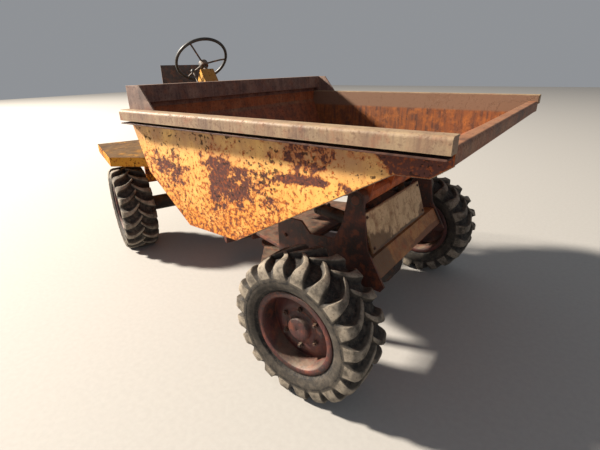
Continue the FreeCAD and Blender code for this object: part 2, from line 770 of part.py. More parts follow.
def floor_plate():
    return box(cover_front_x, floor_front_x, -floor_half_width, floor_half_width, rail_top, floor_top)


def fender():
    """Flat mudguard with a folded edge and a skewed front, and a skirt down beside the floor. Left side."""
    t = fender_sheet
    y0, y1 = floor_half_width, fender_half_width
    outline = [(fender_front_x, y0), (fender_corner_x, y1), (fender_rear_x, y1), (fender_rear_x, y0)]
    inside = [(fender_front_x - 8.0, y0 - 50.0), (fender_corner_x - 5.0, y1 - t),
              (fender_rear_x + t, y1 - t),
              (fender_rear_x + t, y0 - 50.0)]
    edge = prism_z(outline, fender_z - fender_edge, fender_z - t).cut(prism_z(inside, 0, fender_z))
    skirt = box(fender_rear_x, fender_front_x, y0, y0 + t, rail_top, fender_z - t)
    return prism_z(outline, fender_z - t, fender_z).fuse([edge, skirt])


def column_point(down, above=0.0):
    """A point by the steering column: down its axis from the wheel's hub, and above its middle line."""
    lean = math.radians(column_lean)
    axis = V(-math.sin(lean), 0, math.cos(lean))
    normal = V(math.cos(lean), 0, math.sin(lean))
    return V(wheel_hub[0], 0, wheel_hub[1]) - axis * down + normal * above


def console_outlines(inset):
    """Side views of the upright box and of the housing that leans back along the column, set in by inset."""
    knee = column_point(knee_down)
    x0 = knee.x - console_depth / 2 + inset
    x1 = knee.x + console_depth / 2 - inset
    edge = column_point(knee_down, housing_above - inset)
    front_z = edge.z - (x1 - edge.x) / math.tan(math.radians(column_lean))
    foot = floor_top - inset
    upright_box = [(x0, foot), (x1, foot), (x1, front_z), (edge.x, edge.z), (x0, edge.z - inset)]
    low = inset - housing_below
    end = housing_gap + inset
    housing = [column_point(end, housing_above - inset), column_point(end, low),
               column_point(knee_down, low), edge]
    return upright_box, [(p.x, p.z) for p in housing]


def pedestal():
    """Hollow console: a box up from the floor, which leans back round the column to below its wheel."""
    shapes = []
    for inset in (0.0, cover_sheet):
        upright_box, housing = console_outlines(inset)
        w = console_half_width - inset
        v = housing_half_width - inset
        shapes.append(prism_y(upright_box, -w, w).fuse(prism_y(housing, -v, v)))
    hole = rod(column_point(housing_gap + 20.0), column_point(housing_gap - 20.0), column_radius + face_gap)
    return shapes[0].cut(shapes[1]).cut(hole)


def steering_column():
    """Column inside the console's housing, and its core in the steering wheel's hub."""
    top = column_point(steering_hub_low + run_gap)
    return rod(column_point(knee_down), top, column_radius).fuse(rod(top, column_point(0.0), column_core))


def steering_wheel():
    """Faceted ring on three spokes, with a hub below its plane."""
    ring_radius = steering_radius - steering_tube
    profile = []
    for i in range(6):
        turn = math.pi * (i + 0.5) / 3
        profile.append((steering_dish + steering_tube * math.cos(turn),
                        ring_radius + steering_tube * math.sin(turn)))
    low = steering_hub_low
    pieces = [bar(V(0, -low, 0), V(0, steering_hub_high, 0), steering_hub)]
    for i in range(3):
        turn = math.radians(90.0 + 120.0 * i)
        out = V(math.cos(turn), 0, math.sin(turn))
        pieces.append(bar(out * 20.0, out * ring_radius + V(0, steering_dish, 0), steering_spoke, 8))
    core = rod(V(0, -low - 5.0, 0), V(0, 2.0, 0), column_core + pin_gap)
    shape = faceted_ring(profile, steering_sides).fuse(pieces).cut(core)
    shape.rotate(V(0, 0, 0), V(1, 0, 0), 90)
    shape.rotate(V(0, 0, 0), V(0, 1, 0), -column_lean)
    shape.translate(V(wheel_hub[0], 0, wheel_hub[1]))
    return shape


def lever(foot, top):
    """A stick with a faceted knob."""
    axis = (top - foot).normalize()
    rings = (          # height and width, in shares of the knob's radius
        (-1.0, 0.5),
        (-0.5, 0.95),
        (0.4, 1.0),
        (1.0, 0.6))
    knob = stack([corners_about(top + axis * (lever_knob * h), axis, lever_knob * w, 10) for h, w in rings])
    return bar(foot, top, lever_radius, 10).fuse(knob)


def levers():
    """Gear lever out of a boss on the floor, and tipping lever on a pivot beside the column."""
    x, y = gear_lever_foot
    gear = lever(V(x, y, floor_top + 10.0), V(x - gear_lever_lean, y, floor_top + gear_lever_rise))
    boss = upright(x, y, 2 * lever_knob, floor_top, floor_top + 30.0, bar)
    pivot = column_point(tip_lever_start, -tip_lever_drop)
    top = column_point(tip_lever_start - tip_lever_reach, -tip_lever_drop)
    side = -housing_half_width - tip_lever_side
    shaft = across(pivot.x, pivot.z, 1.4 * lever_radius, side - lever_radius, -housing_half_width, bar)
    tip = lever(V(pivot.x, side, pivot.z), V(top.x, side, top.z))
    return Part.makeCompound([gear.fuse(boss), tip.fuse(shaft)])


def seat_frame():
    """Box under the cushion, and the flat steel back rest on two posts."""
    w = seat_half_width - 20.0
    base = box(seat_rear_x, seat_front_x - 20.0, -w, w, cover_top, cover_top + seat_base_height)
    rest = box(back_x - back_thick, back_x, -back_half_width, back_half_width, back_foot, back_top)
    post_x = back_x - back_thick
    post = box(post_x - back_post, post_x, back_post_y, back_post_y + back_post, cover_top, back_top - 80.0)
    return Part.makeCompound([base, rest.fuse([post, mirror_y(post)])])


def seat_cushion():
    z0 = cover_top + seat_base_height
    return box(seat_rear_x, seat_front_x, -seat_half_width, seat_half_width, z0 + face_gap, z0 + seat_pad)


def fuel_tank():
    """Rounded tank on the left fender, with a filler cap."""
    x0 = fender_rear_x + 60.0
    y0 = cover_half_width + 20.0
    y1 = y0 + tank_width
    z1 = fender_z + tank_height
    cap = upright(x0 + tank_length / 2, (y0 + y1) / 2, tank_cap, z1 - 5.0, z1 + 25.0, bar)
    return rounded_box(x0, x0 + tank_length, y0, y1, fender_z, z1, tank_round).fuse(cap)


def exhaust():
    """Silencer beside the engine cover, its inlet from the cover and its tail pipe to the rear."""
    y = -cover_half_width - 80.0
    z = fender_z + 90.0
    end = silencer_x - silencer_length / 2
    can = bar(V(end, y, z), V(end + silencer_length, y, z), silencer_radius, 20)
    inlet = bar(V(silencer_x, y, z), V(silencer_x, -cover_half_width, z), exhaust_pipe)
    tail = bar(V(end + 1, y, z), V(weight_rear_x, y, z), exhaust_pipe)
    return can.fuse([inlet, tail])


for name, shape in (
        ("bearing_plate", bearing_plate()),
        ("rear_rails", rear_rails()),
        ("rear_axle", axle(rear_axle_x, rail_half_width - plate / 2, pinion_reach)),
        ("gearbox", gearbox()),
        ("counterweight", counterweight()),
        ("engine_block", engine_block()),
        ("engine_cover", engine_cover()),
        ("floor_plate", floor_plate()),
        ("fender_left", fender()),
        ("fender_right", mirror_y(fender())),
        ("pedestal", pedestal()),
        ("steering_column", steering_column()),
        ("steering_wheel", steering_wheel()),
        ("levers", levers()),
        ("seat_frame", seat_frame()),
        ("seat_cushion", seat_cushion()),
        ("fuel_tank", fuel_tank()),
        ("exhaust", exhaust())):
    keep(name, shape, "rear")

# Wheels in their places

for axle_name, half, x in (("front", "front", 0.0), ("rear", "rear", rear_axle_x)):
    for piece, right in (("tyre", tyre()), ("rim", rim())):
        for side, y in (("left", track / 2), ("right", -track / 2)):
            shape = right.copy() if y < 0 else mirror_y(right)
            shape.translate(V(x, y, tyre_radius))
            keep(piece + "_" + axle_name + "_" + side, shape, half)

# The footprint's middle to the origin, then one file a piece

whole = Part.makeCompound(list(made.values())).optimalBoundingBox(False)
shift = V(-(whole.XMin + whole.XMax) / 2, -(whole.YMin + whole.YMax) / 2, -whole.ZMin)
os.makedirs("parts", exist_ok=True)
for name, shape in made.items():
    shape.translate(shift)
    shape.exportStep("parts/" + name + ".step")
print("pieces", len(made))
print("size", round(whole.XLength, 1), round(whole.YLength, 1), round(whole.ZLength, 1))
print("shift", round(shift.x, 3), round(shift.y, 3), round(shift.z, 3))
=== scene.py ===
# %% [markdown]
# # A weathered site dumper
#
# The machine is a forward-tipping skip on two driven wheels, joined at a centre pivot to a rear half that
# carries the driver and the engine. It has stood outdoors for years, so almost nothing on it is one clean
# colour: paint has bleached, chipped and rusted through. The solid model already has every plate in its place,
# so most of this lesson is about surfaces, and about the few forms that are too fine for the solid model.
#
# We start by loading that model as a fixed frame. Everything is in metres, with Z up and X forward.

# %% Load the frame
import bpy
import bmesh
import json
import math
import random
from mathutils import Matrix, Quaternion, Vector


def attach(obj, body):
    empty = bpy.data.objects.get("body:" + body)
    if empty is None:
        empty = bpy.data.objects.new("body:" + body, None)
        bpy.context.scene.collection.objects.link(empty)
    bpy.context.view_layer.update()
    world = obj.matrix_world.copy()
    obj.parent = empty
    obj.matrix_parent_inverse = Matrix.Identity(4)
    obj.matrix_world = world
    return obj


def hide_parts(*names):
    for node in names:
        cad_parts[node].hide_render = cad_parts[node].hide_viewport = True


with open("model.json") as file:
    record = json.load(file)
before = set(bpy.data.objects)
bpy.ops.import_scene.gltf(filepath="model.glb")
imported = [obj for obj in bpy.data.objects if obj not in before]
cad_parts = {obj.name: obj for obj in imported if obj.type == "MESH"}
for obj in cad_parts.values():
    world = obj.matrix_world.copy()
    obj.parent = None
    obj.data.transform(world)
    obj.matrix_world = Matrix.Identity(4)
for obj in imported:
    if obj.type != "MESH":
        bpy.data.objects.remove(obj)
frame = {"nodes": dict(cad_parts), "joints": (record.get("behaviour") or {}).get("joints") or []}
nodes = frame["nodes"]
joints = {joint["name"]: joint for joint in frame["joints"]}
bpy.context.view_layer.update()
mm = 0.001

# %% [markdown]
# ## The camera
#
# The picture was taken by someone standing close to the front right-hand corner, holding a wide lens at eye
# height. A wide lens close up makes the near corner of the skip large and the driver's end small, so the
# camera's place matters more than any other number here. It is given from the point on the ground under the
# middle of the front axle, because that is where the machine's own drawing starts.

# %% Place the camera
left_hub = Vector(joints["wheel_front_left_spin"]["pos_m"])
right_hub = Vector(joints["wheel_front_right_spin"]["pos_m"])
front_ground = (left_hub + right_hub) / 2
tyre_radius = front_ground.z
front_ground.z = 0.0

camera_offset = Vector((0.9224, -2.0464, 1.5418))
camera_look = Vector((-0.56056, 0.73429, -0.38287))
camera_roll = -0.023
lens_mm = 22.69

camera = bpy.data.objects.new("camera", bpy.data.cameras.new("camera"))
bpy.context.scene.collection.objects.link(camera)
camera.data.sensor_width = 36.0
camera.data.lens = lens_mm
camera.data.clip_start = 0.05
camera.location = front_ground + camera_offset
camera.rotation_mode = "QUATERNION"
camera.rotation_quaternion = camera_look.to_track_quat("-Z", "Y") @ Quaternion((0, 0, 1), camera_roll)
bpy.context.scene.camera = camera
print("camera", [round(c, 3) for c in camera.location])

# %% [markdown]
# ## Two small helpers for materials
#
# Colours are easiest to judge as the hex values that a paint chart or a picture editor gives, but a renderer
# adds light, so it needs them linear. One function does that. A second one adds a shader node, sets what is
# constant on its sockets, and links what isn't, so that a material reads as a list of what happens to it.

# %% Colour and node helpers
def linear(code):
    """An sRGB hex colour as linear red, green, blue and alpha."""
    parts = [int(code[i:i + 2], 16) / 255 for i in (1, 3, 5)]
    return [c / 12.92 if c <= 0.04045 else ((c + 0.055) / 1.055) ** 2.4 for c in parts] + [1.0]


def add(tree, kind, inputs, **settings):
    """Adds a node. Inputs maps a socket's name or number to a value, or to an output to link."""
    node = tree.nodes.new("ShaderNode" + kind)
    for name, value in settings.items():
        setattr(node, name, value)
    for name, value in inputs.items():
        if isinstance(value, bpy.types.NodeSocket):
            tree.links.new(value, node.inputs[name])
        else:
            node.inputs[name].default_value = value
    return node


print("red oxide in linear light", [round(c, 3) for c in linear("#5A3830")])

# %% [markdown]
# ## Patterns that weather makes
#
# Rust does not spread evenly. It starts at scratches and stone chips, grows into blotches with ragged edges,
# and bleeds downwards with the rain. All three can be drawn with noise that lives in the machine's own
# coordinates, so a blotch stays on its plate when the plate moves. We give each noise the real size of its
# features in millimetres, and turn it into a mask with a threshold: everything above a level is rust.
#
# Streaks use the same noise, squeezed sideways and stretched downwards.

# %% Noise masks
def place_on(tree, stretch=(1.0, 1.0, 1.0), shift=(0.0, 0.0, 0.0)):
    """The machine's own coordinates, in metres, stretched along X, Y and Z."""
    where = add(tree, "TexCoord", {}).outputs["Object"]
    return add(tree, "Mapping", {"Vector": where, "Scale": stretch, "Location": shift}).outputs[0]


def blotches(tree, where, size_mm, level, soft, detail=8.0, rough=0.62):
    """A mask from noise whose features are about size_mm across: 1 above the level, 0 below it."""
    noise = add(tree, "TexNoise", {"Vector": where, "Scale": 1000.0 / size_mm, "Detail": detail,
                                   "Roughness": rough}).outputs[0]
    return add(tree, "MapRange", {"Value": noise, "From Min": level - soft, "From Max": level + soft},
               interpolation_type="SMOOTHSTEP").outputs[0]


def ramp(tree, value, low, high):
    """0 where the value is at low, 1 where it is at high."""
    return add(tree, "MapRange", {"Value": value, "From Min": low, "From Max": high}).outputs[0]


def both(tree, a, b, how="MULTIPLY"):
    """Two masks or numbers combined."""
    return add(tree, "Math", {0: a, 1: b}, operation=how).outputs[0]


def layer(tree, under, over, mask):
    """One colour laid over another where the mask is 1."""
    mix = add(tree, "Mix", {0: mask, 6: under, 7: over}, data_type="RGBA")
    return mix.outputs[2]


def surface(tree, colour, rough, height, depth_mm, metallic=0.0, edge_mm=0.0, **constants):
    """The finished shader: colour, roughness, a height mask raised by depth_mm, and edges rounded by edge_mm."""
    bump_inputs = {"Height": height, "Distance": depth_mm * mm, "Strength": 1.0}
    if edge_mm:
        bump_inputs["Normal"] = add(tree, "Bevel", {"Radius": edge_mm * mm}, samples=4).outputs[0]
    bump = add(tree, "Bump", bump_inputs).outputs[0]
    shader = add(tree, "BsdfPrincipled", {"Base Color": colour, "Roughness": rough, "Normal": bump,
                                          "Metallic": metallic})
    for name, value in constants.items():
        shader.inputs[name.replace("_", " ")].default_value = value
    add(tree, "OutputMaterial", {"Surface": shader.outputs[0]})


def along_edges(tree, reach_mm):
    """A mask that is 1 on a sharp edge and 0 beyond its reach: an edge is where a rounded normal leans away."""
    rounded = add(tree, "Bevel", {"Radius": reach_mm * mm}, samples=4).outputs[0]
    plain = add(tree, "NewGeometry", {}).outputs["Normal"]
    lean = add(tree, "VectorMath", {0: rounded, 1: plain}, operation="DOT_PRODUCT").outputs["Value"]
    return add(tree, "MapRange", {"Value": lean, "From Min": 0.998, "From Max": 0.90}).outputs[0]


def new_material(name):
    material = bpy.data.materials.new(name)
    material.use_nodes = True
    material.node_tree.nodes.clear()
    return material, material.node_tree


print("pattern helpers ready")

# %% [markdown]
# ## Bleached enamel over rusting steel
#
# The skip's sides were sprayed with a thick alkyd enamel. Sun has chalked it, so it scatters light like matt
# paint. Under the rim it turns a darker mauve beige: partly faded paint, and partly painted shade of the rim's
# shadow. Three kinds of damage lie over each other, and each has its own size:
#
# - bare plate with a hard purple-brown oxide, in ragged fields a few hundred millimetres wide, with islands of
#   paint left in them;
# - orange rust stains about 15 mm across, which crowd together low down, where wet earth lay;
# - dark pits of 10 to 25 mm, mostly in loose clusters.
#
# We could paint this by hand on an image, but noise keeps it sharp at any distance and needs no unwrapping. A
# field's ragged edge comes from adding a broad noise to a fine one before the threshold.

# %% Enamel on painted sheet
def noise(tree, where, size_mm, detail=4.0, rough=0.6):
    """Plain noise whose largest features are about size_mm across."""
    return add(tree, "TexNoise", {"Vector": where, "Scale": 1000.0 / size_mm, "Detail": detail,
                                  "Roughness": rough}).outputs[0]


def above(tree, value, low, high):
    """A mask that rises smoothly from 0 at low to 1 at high."""
    return add(tree, "MapRange", {"Value": value, "From Min": low, "From Max": high},
               interpolation_type="SMOOTHSTEP").outputs[0]


def near_patch(tree, where, centre, reach):
    """1 at a patch's centre and 0 beyond its reach along X, Y and Z. A reach of None is without end."""
    away = add(tree, "VectorMath", {0: where, 1: centre}, operation="SUBTRACT").outputs[0]
    shares = [1.0 / r if r else 0.0 for r in reach]
    flat = add(tree, "VectorMath", {0: away, 1: shares}, operation="MULTIPLY").outputs[0]
    distance = add(tree, "VectorMath", {0: flat}, operation="LENGTH").outputs["Value"]
    return above(tree, distance, 1.3, 0.1)


def weathered_enamel(name, paint, deep, pale, stain, oxide, low, high, wear=0.0, patches=(), trim=None,
                     top_brown=None):
    """Chalked enamel between two heights, with bare fields, stains, pits, and extra wear in patches."""
    material, tree = new_material(name)
    where = place_on(tree)
    upward = ramp(tree, add(tree, "SeparateXYZ", {"Vector": where}).outputs["Z"], low, high)
    downward = add(tree, "Math", {0: 1.0, 1: upward}, operation="SUBTRACT").outputs[0]
    colour = layer(tree, linear(paint), linear(deep), both(tree, downward, blotches(tree, where, 120, 0.42, 0.2)))
    # Near the top the paint turns to a second colour: fade on the cover, and on the skip's side a darker mauve that is
    # painted shade under the rim.
    top_fade_and_shade = both(tree, above(tree, upward, 0.66, 0.88), blotches(tree, where, 200, 0.42, 0.2))
    colour = layer(tree, colour, linear(pale), both(tree, top_fade_and_shade, 0.8))
    streaks = blotches(tree, place_on(tree, (1.0, 1.0, 0.12)), 22, 0.58, 0.16, 5.0)
    colour = layer(tree, colour, linear(stain), both(tree, streaks, 0.22))

    field = both(tree, noise(tree, where, 330, 3.0, 0.5), 0.5)
    for centre, reach, strength in patches:
        field = both(tree, field, both(tree, near_patch(tree, where, centre, reach), strength), "ADD")
    ragged = both(tree, field, both(tree, noise(tree, where, 42, 9.0, 0.7), 0.5), "ADD")
    level = 0.596 - wear
    bare = above(tree, ragged, level, level + 0.012)
    halo = above(tree, ragged, level - 0.05, level)
    colour = layer(tree, colour, linear(stain), both(tree, halo, 0.75))

    crowd = both(tree, both(tree, downward, 0.17), both(tree, field, 0.28), "ADD")
    mottle = both(tree, noise(tree, where, 21, 6.0, 0.66), crowd, "ADD")
    stained = above(tree, mottle, 0.682 - wear, 0.735 - wear)
    colour = layer(tree, colour, linear(stain), both(tree, stained, 0.8))
    colour = layer(tree, colour, linear(oxide), both(tree, above(tree, mottle, 0.765 - wear, 0.785 - wear), 0.8))

    crusty = layer(tree, linear(oxide), linear(stain), both(tree, blotches(tree, where, 16, 0.58, 0.1), 0.6))
    colour = layer(tree, colour, crusty, bare)
    loose = both(tree, noise(tree, where, 170, 2.0), 0.45)
    pits = above(tree, both(tree, loose, noise(tree, where, 24, 5.0, 0.58), "ADD"), 0.838 - wear, 0.862 - wear)
    dots = above(tree, both(tree, noise(tree, where, 11, 2.0), both(tree, downward, 0.035), "ADD"), 0.665, 0.70)
    dark = both(tree, pits, dots, "MAXIMUM")
    colour = layer(tree, colour, linear("#2C1B16"), both(tree, dark, 0.85))

    edge = both(tree, along_edges(tree, 7.0), blotches(tree, where, 25, 0.42, 0.12))
    colour = layer(tree, colour, linear(stain), both(tree, edge, 0.8))
    # Faces that look up get a darker brown, laid in blotches.
    if top_brown:
        up = add(tree, "SeparateXYZ", {"Vector": add(tree, "NewGeometry", {}).outputs["Normal"]}).outputs["Z"]
        lying = both(tree, ramp(tree, up, 0.5, 0.95), blotches(tree, where, 160, 0.34, 0.16))
        earth = layer(tree, linear(top_brown), linear("#5A4C3F"), blotches(tree, where, 55, 0.5, 0.22))
        colour = layer(tree, colour, earth, both(tree, lying, 0.9))
    if trim:
        colour = trim(tree, where, colour)
    lost = both(tree, both(tree, bare, stained, "MAXIMUM"), dark, "MAXIMUM")
    if top_brown:
        lost = both(tree, lost, lying, "MAXIMUM")
    rough = add(tree, "MapRange", {"Value": lost, "To Min": 0.54, "To Max": 0.96}).outputs[0]
    grain = both(tree, noise(tree, where, 6, 3.0), 0.5)
    surface(tree, colour, rough, both(tree, grain, both(tree, lost, 0.7), "SUBTRACT"), 1.6, edge_mm=2.0,
            Specular_IOR_Level=0.04 if top_brown else 0.3)
    return material


def skip_trim(tree, where, colour):
    """Inside the skip's sides, bare brown plate that is redder low down. Outside, a dark brown strip by the rim."""
    split = add(tree, "SeparateXYZ", {"Vector": where})
    across = add(tree, "Math", {0: both(tree, split.outputs["Y"], front_ground.y, "SUBTRACT")},
                 operation="ABSOLUTE").outputs[0]
    drips = blotches(tree, place_on(tree, (1.0, 1.0, 0.10)), 30, 0.52, 0.14, 5.0)
    inner = layer(tree, linear("#7E4A2A"), linear("#4E342B"), drips)
    inner = layer(tree, inner, linear("#A0602E"), both(tree, blotches(tree, where, 60, 0.56, 0.1), 0.6))
    inner = layer(tree, inner, linear("#745846"), above(tree, split.outputs["Z"], 1.235, 1.255))
    colour = layer(tree, colour, inner, ramp(tree, across, 0.8765, 0.8755))
    # Outside the side sheet, the strip by the rim is dark brown.
    strip = layer(tree, linear("#5A3D33"), linear("#3A2722"), blotches(tree, where, 40, 0.5, 0.15))
    return layer(tree, colour, strip, ramp(tree, across, 0.8812, 0.8822))


side_patches = (          # centre, reach, strength
    (front_ground + Vector((-0.440, -0.88, 1.075)), (0.40, None, 0.17), 0.165),
    (front_ground + Vector((-0.400, -0.88, 0.930)), (0.18, None, 0.10), 0.035),
    (front_ground + Vector((0.170, -0.88, 1.128)), (0.44, None, 0.028), 0.105),
    (front_ground + Vector((0.350, -0.88, 1.190)), (0.40, None, 0.120), 0.035),
    (front_ground + Vector((0.020, -0.88, 1.235)), (0.30, None, 0.060), 0.02),
    (front_ground + Vector((0.520, -0.88, 1.270)), (0.24, None, 0.080), 0.20))
# On the skip's side, the third colour is a darker mauve near the top: painted shade under the rim.
skip_enamel = weathered_enamel("chalked_alkyd_enamel_yellow", "#E6B868", "#DE8C2E", "#94684E", "#A8541F", "#54332D",
                               0.76, 1.30, 0.0, side_patches, skip_trim)
cover_enamel = weathered_enamel("chalked_alkyd_enamel_ochre", "#BD8A34", "#A8661F", "#B08A55", "#84431A", "#4A2F28",
                                # The cover's parts: faces that look up are a darker brown.
                                0.10, 1.30, 0.0, top_brown="#463B31")
print("enamels", skip_enamel.name, cover_enamel.name)

# %% [markdown]
# ## Oxidised rolled steel
#
# The rims, the lip and the raised rear end lost their paint long ago, because hands, shovels and loads wear
# them most. Bare mild steel outdoors grows a fine brown oxide, and takes up pale dust and grey-green algae where
# rain sits on it. Runs of rain draw thin vertical lines down its faces. The raised rear end stands in shade, so
# it gets a darker, mauve copy of the rims' steel: that darkening is painted shade.

# %% Bare oxidised steel and the rusty inside
def oxidised_steel(name, base, dust, deep, red, dusty=0.5, low_red=None, under_paint_and_bounce=None):
    """Brown oxide with dust, dark stains and thin rain runs. Red rust below a height, and orange paint left on
    faces that look down, are added if they are given; that orange is made bright as painted bounce light."""
    material, tree = new_material(name)
    where = place_on(tree)
    up = add(tree, "SeparateXYZ", {"Vector": add(tree, "NewGeometry", {}).outputs["Normal"]}).outputs["Z"]
    colour = layer(tree, linear(base), linear(deep), blotches(tree, where, 170, 0.54, 0.14))
    colour = layer(tree, colour, linear(dust), both(tree, blotches(tree, where, 95, 0.52, 0.14), 0.6))
    colour = layer(tree, colour, linear(red), both(tree, blotches(tree, where, 60, 0.58, 0.1), 0.6))
    runs = blotches(tree, place_on(tree, (1.0, 1.0, 0.07)), 12, 0.53, 0.2, 4.0)
    colour = layer(tree, colour, linear(dust), both(tree, runs, dusty))
    dark_runs = blotches(tree, place_on(tree, (1.0, 1.0, 0.1), (3.1, 1.7, 0.4)), 20, 0.58, 0.14, 4.0)
    colour = layer(tree, colour, linear(deep), both(tree, dark_runs, 0.4))
    lying = both(tree, ramp(tree, up, 0.3, 0.95), blotches(tree, where, 90, 0.47, 0.18))
    colour = layer(tree, colour, linear(dust), both(tree, lying, 0.55))
    if low_red is not None:
        z = add(tree, "SeparateXYZ", {"Vector": where}).outputs["Z"]
        tide = both(tree, z, both(tree, noise(tree, where, 110, 6.0), 0.02), "ADD")
        under = ramp(tree, tide, low_red + 0.012, low_red)
        colour = layer(tree, colour, linear(red), both(tree, under, 0.6))
        silt = both(tree, under, blotches(tree, where, 45, 0.52, 0.1))
        colour = layer(tree, colour, linear(deep), both(tree, silt, 0.6))
    # Faces that look down get orange paint, brightened as painted bounce light from the ground.
    if under_paint_and_bounce:
        down = ramp(tree, up, -0.05, -0.15)
        left = layer(tree, linear(under_paint_and_bounce), linear(red), blotches(tree, where, 80, 0.58, 0.14))
        left = layer(tree, left, linear(deep), blotches(tree, where, 26, 0.60, 0.08))
        colour = layer(tree, colour, left, down)
    flakes = blotches(tree, where, 14, 0.60, 0.06, 4.0)
    colour = layer(tree, colour, linear(deep), both(tree, flakes, 0.5))
    colour = layer(tree, colour, linear(dust), both(tree, along_edges(tree, 5.0), 0.6))
    pits = blotches(tree, where, 7, 0.62, 0.2, 3.0)
    rough = add(tree, "MapRange", {"Value": both(tree, pits, flakes, "ADD"), "To Min": 0.6, "To Max": 0.88}).outputs[0]
    surface(tree, colour, rough, pits, 0.3, edge_mm=2.5)
    return material


rim_steel = oxidised_steel("oxidised_rolled_steel", "#7C604A", "#9C8769", "#5A4136", "#824C32", 0.35)
# The skip's head: the rims' steel made darker and more mauve, as painted shade.
head_steel_painted_shade = oxidised_steel("oxidised_rolled_steel_painted_shade", "#5E4640", "#8E7463", "#3C2C2B", "#754630", 0.25)
# The skip's floor: its down-facing orange is paint, brightened as painted bounce light.
floor_steel = oxidised_steel("rusted_skip_plate", "#6E4229", "#94694A", "#3E2820", "#8A4420", 0.3, 1.27,
                             "#CC6A22")
print("steels", rim_steel.name, head_steel_painted_shade.name, floor_steel.name)

# %% [markdown]
# ## Chassis paint, cream plate and cast iron
#
# The chassis was painted the same colour as the skip, but oil and mud have darkened it to a maroon brown, with
# orange showing where water runs, and it is made darker still as painted shade from the skip above it. The nose
# plate was cream; it is stained from its edges inwards.
# Castings such as the axles were only primed, so they are nearly black with dry earth on top. All three are
# the same recipe with other colours, so one function makes them.

# %% Grimy paint
def on_nose(y, z):
    """A place on the machine's nose, in metres across and up."""
    return front_ground + Vector((0.0, y, z))


def grimy_paint(name, paint, grime, rust, grime_level=0.5, run_share=0.4, dusty=0.35, dust="#8C7B66",
                stains=()):
    """Old paint under grime, with rust blotches, dark rain runs, and dry earth on what faces up."""
    material, tree = new_material(name)
    where = place_on(tree)
    up = add(tree, "SeparateXYZ", {"Vector": add(tree, "NewGeometry", {}).outputs["Normal"]}).outputs["Z"]
    colour = layer(tree, linear(paint), linear(grime), blotches(tree, where, 110, grime_level, 0.14))
    colour = layer(tree, colour, linear(rust), both(tree, blotches(tree, where, 45, 0.57, 0.08), 0.7))
    runs = blotches(tree, place_on(tree, (1.0, 1.0, 0.08)), 14, 0.56, 0.1, 4.0)
    colour = layer(tree, colour, linear(grime), both(tree, runs, run_share))
    for centre, reach, code in stains:
        spread = both(tree, near_patch(tree, where, centre, reach), noise(tree, where, 60, 6.0), "ADD")
        colour = layer(tree, colour, linear(code), both(tree, above(tree, spread, 0.78, 1.05), 0.9))
    specks = blotches(tree, where, 9, 0.64, 0.04, 3.0)
    colour = layer(tree, colour, linear(rust), both(tree, specks, 0.7))
    lying = both(tree, ramp(tree, up, 0.3, 0.95), blotches(tree, where, 60, 0.45, 0.2))
    colour = layer(tree, colour, linear(dust), both(tree, lying, dusty))
    worn = both(tree, along_edges(tree, 5.0), blotches(tree, where, 30, 0.45, 0.12))
    colour = layer(tree, colour, linear(rust), both(tree, worn, 0.7))
    rough = add(tree, "MapRange", {"Value": specks, "To Min": 0.6, "To Max": 0.9}).outputs[0]
    surface(tree, colour, rough, both(tree, specks, runs, "ADD"), 0.6, edge_mm=2.0)
    return material


plate_stains = (
    (on_nose(-0.468, 0.66), (None, 0.34, 0.13), "#5E4226"),
    (on_nose(0.250, 0.66), (None, 0.12, 0.10), "#6E4A2A"),
    (on_nose(-0.100, 0.655), (None, 0.60, 0.035), "#4A3422"),
    (on_nose(-0.100, 0.880), (None, 0.60, 0.030), "#7A5230"))
beam_stains = (
    (on_nose(-0.460, 0.56), (None, 0.25, 0.20), "#5E4228"),
    (on_nose(0.300, 0.54), (None, 0.40, 0.03), "#6A3C1E"))
# Chassis: a maroon brown of oil and mud, made darker still as painted shade.
chassis_grime_and_shade = grimy_paint("grimy_chassis_enamel_and_painted_shade", "#47221A", "#241512", "#74381C", 0.48, 0.45)
pin_stains = tuple((on_nose(side * 0.49, 0.94), (None, 0.10, 0.20), "#3E2219") for side in (1, -1))
sheltered_orange = grimy_paint("sheltered_orange_enamel", "#C4601E", "#7A3A1C", "#8A3E1A", 0.58, 0.3,
                               stains=pin_stains)
nose_cream = grimy_paint("stained_cream_enamel", "#CDAF86", "#94734C", "#80502A", 0.60, 0.3, 0.2,
                         stains=plate_stains)
beam_paint = grimy_paint("worn_tan_enamel", "#B07A42", "#7A4E2A", "#94481C", 0.54, 0.3, stains=beam_stains)
casting = grimy_paint("primed_cast_iron", "#2E2622", "#1C1816", "#5A3420", 0.5, 0.4, 0.6)
wheel_paint = grimy_paint("faded_maroon_wheel_enamel", "#4E2220", "#2C1A18", "#6A3420", 0.5, 0.4, 0.4)
tread_plate = grimy_paint("muddy_floor_plate", "#6E5640", "#43352A", "#7A4524", 0.5, 0.3, 0.6)
seat_steel = grimy_paint("faded_black_enamel", "#484240", "#332E2C", "#6A4838", 0.5, 0.3, 0.5)
print("paints", 8)

# %% [markdown]
# ## Rubber, moulded plastic, vinyl and a ground rod
#
# Tyre rubber is nearly black when clean, but the lugs are grey with dried mud and fine cracks. The steering
# wheel is a hard black moulding, the cushion is embossed vinyl, and the rams' rods were ground and plated.

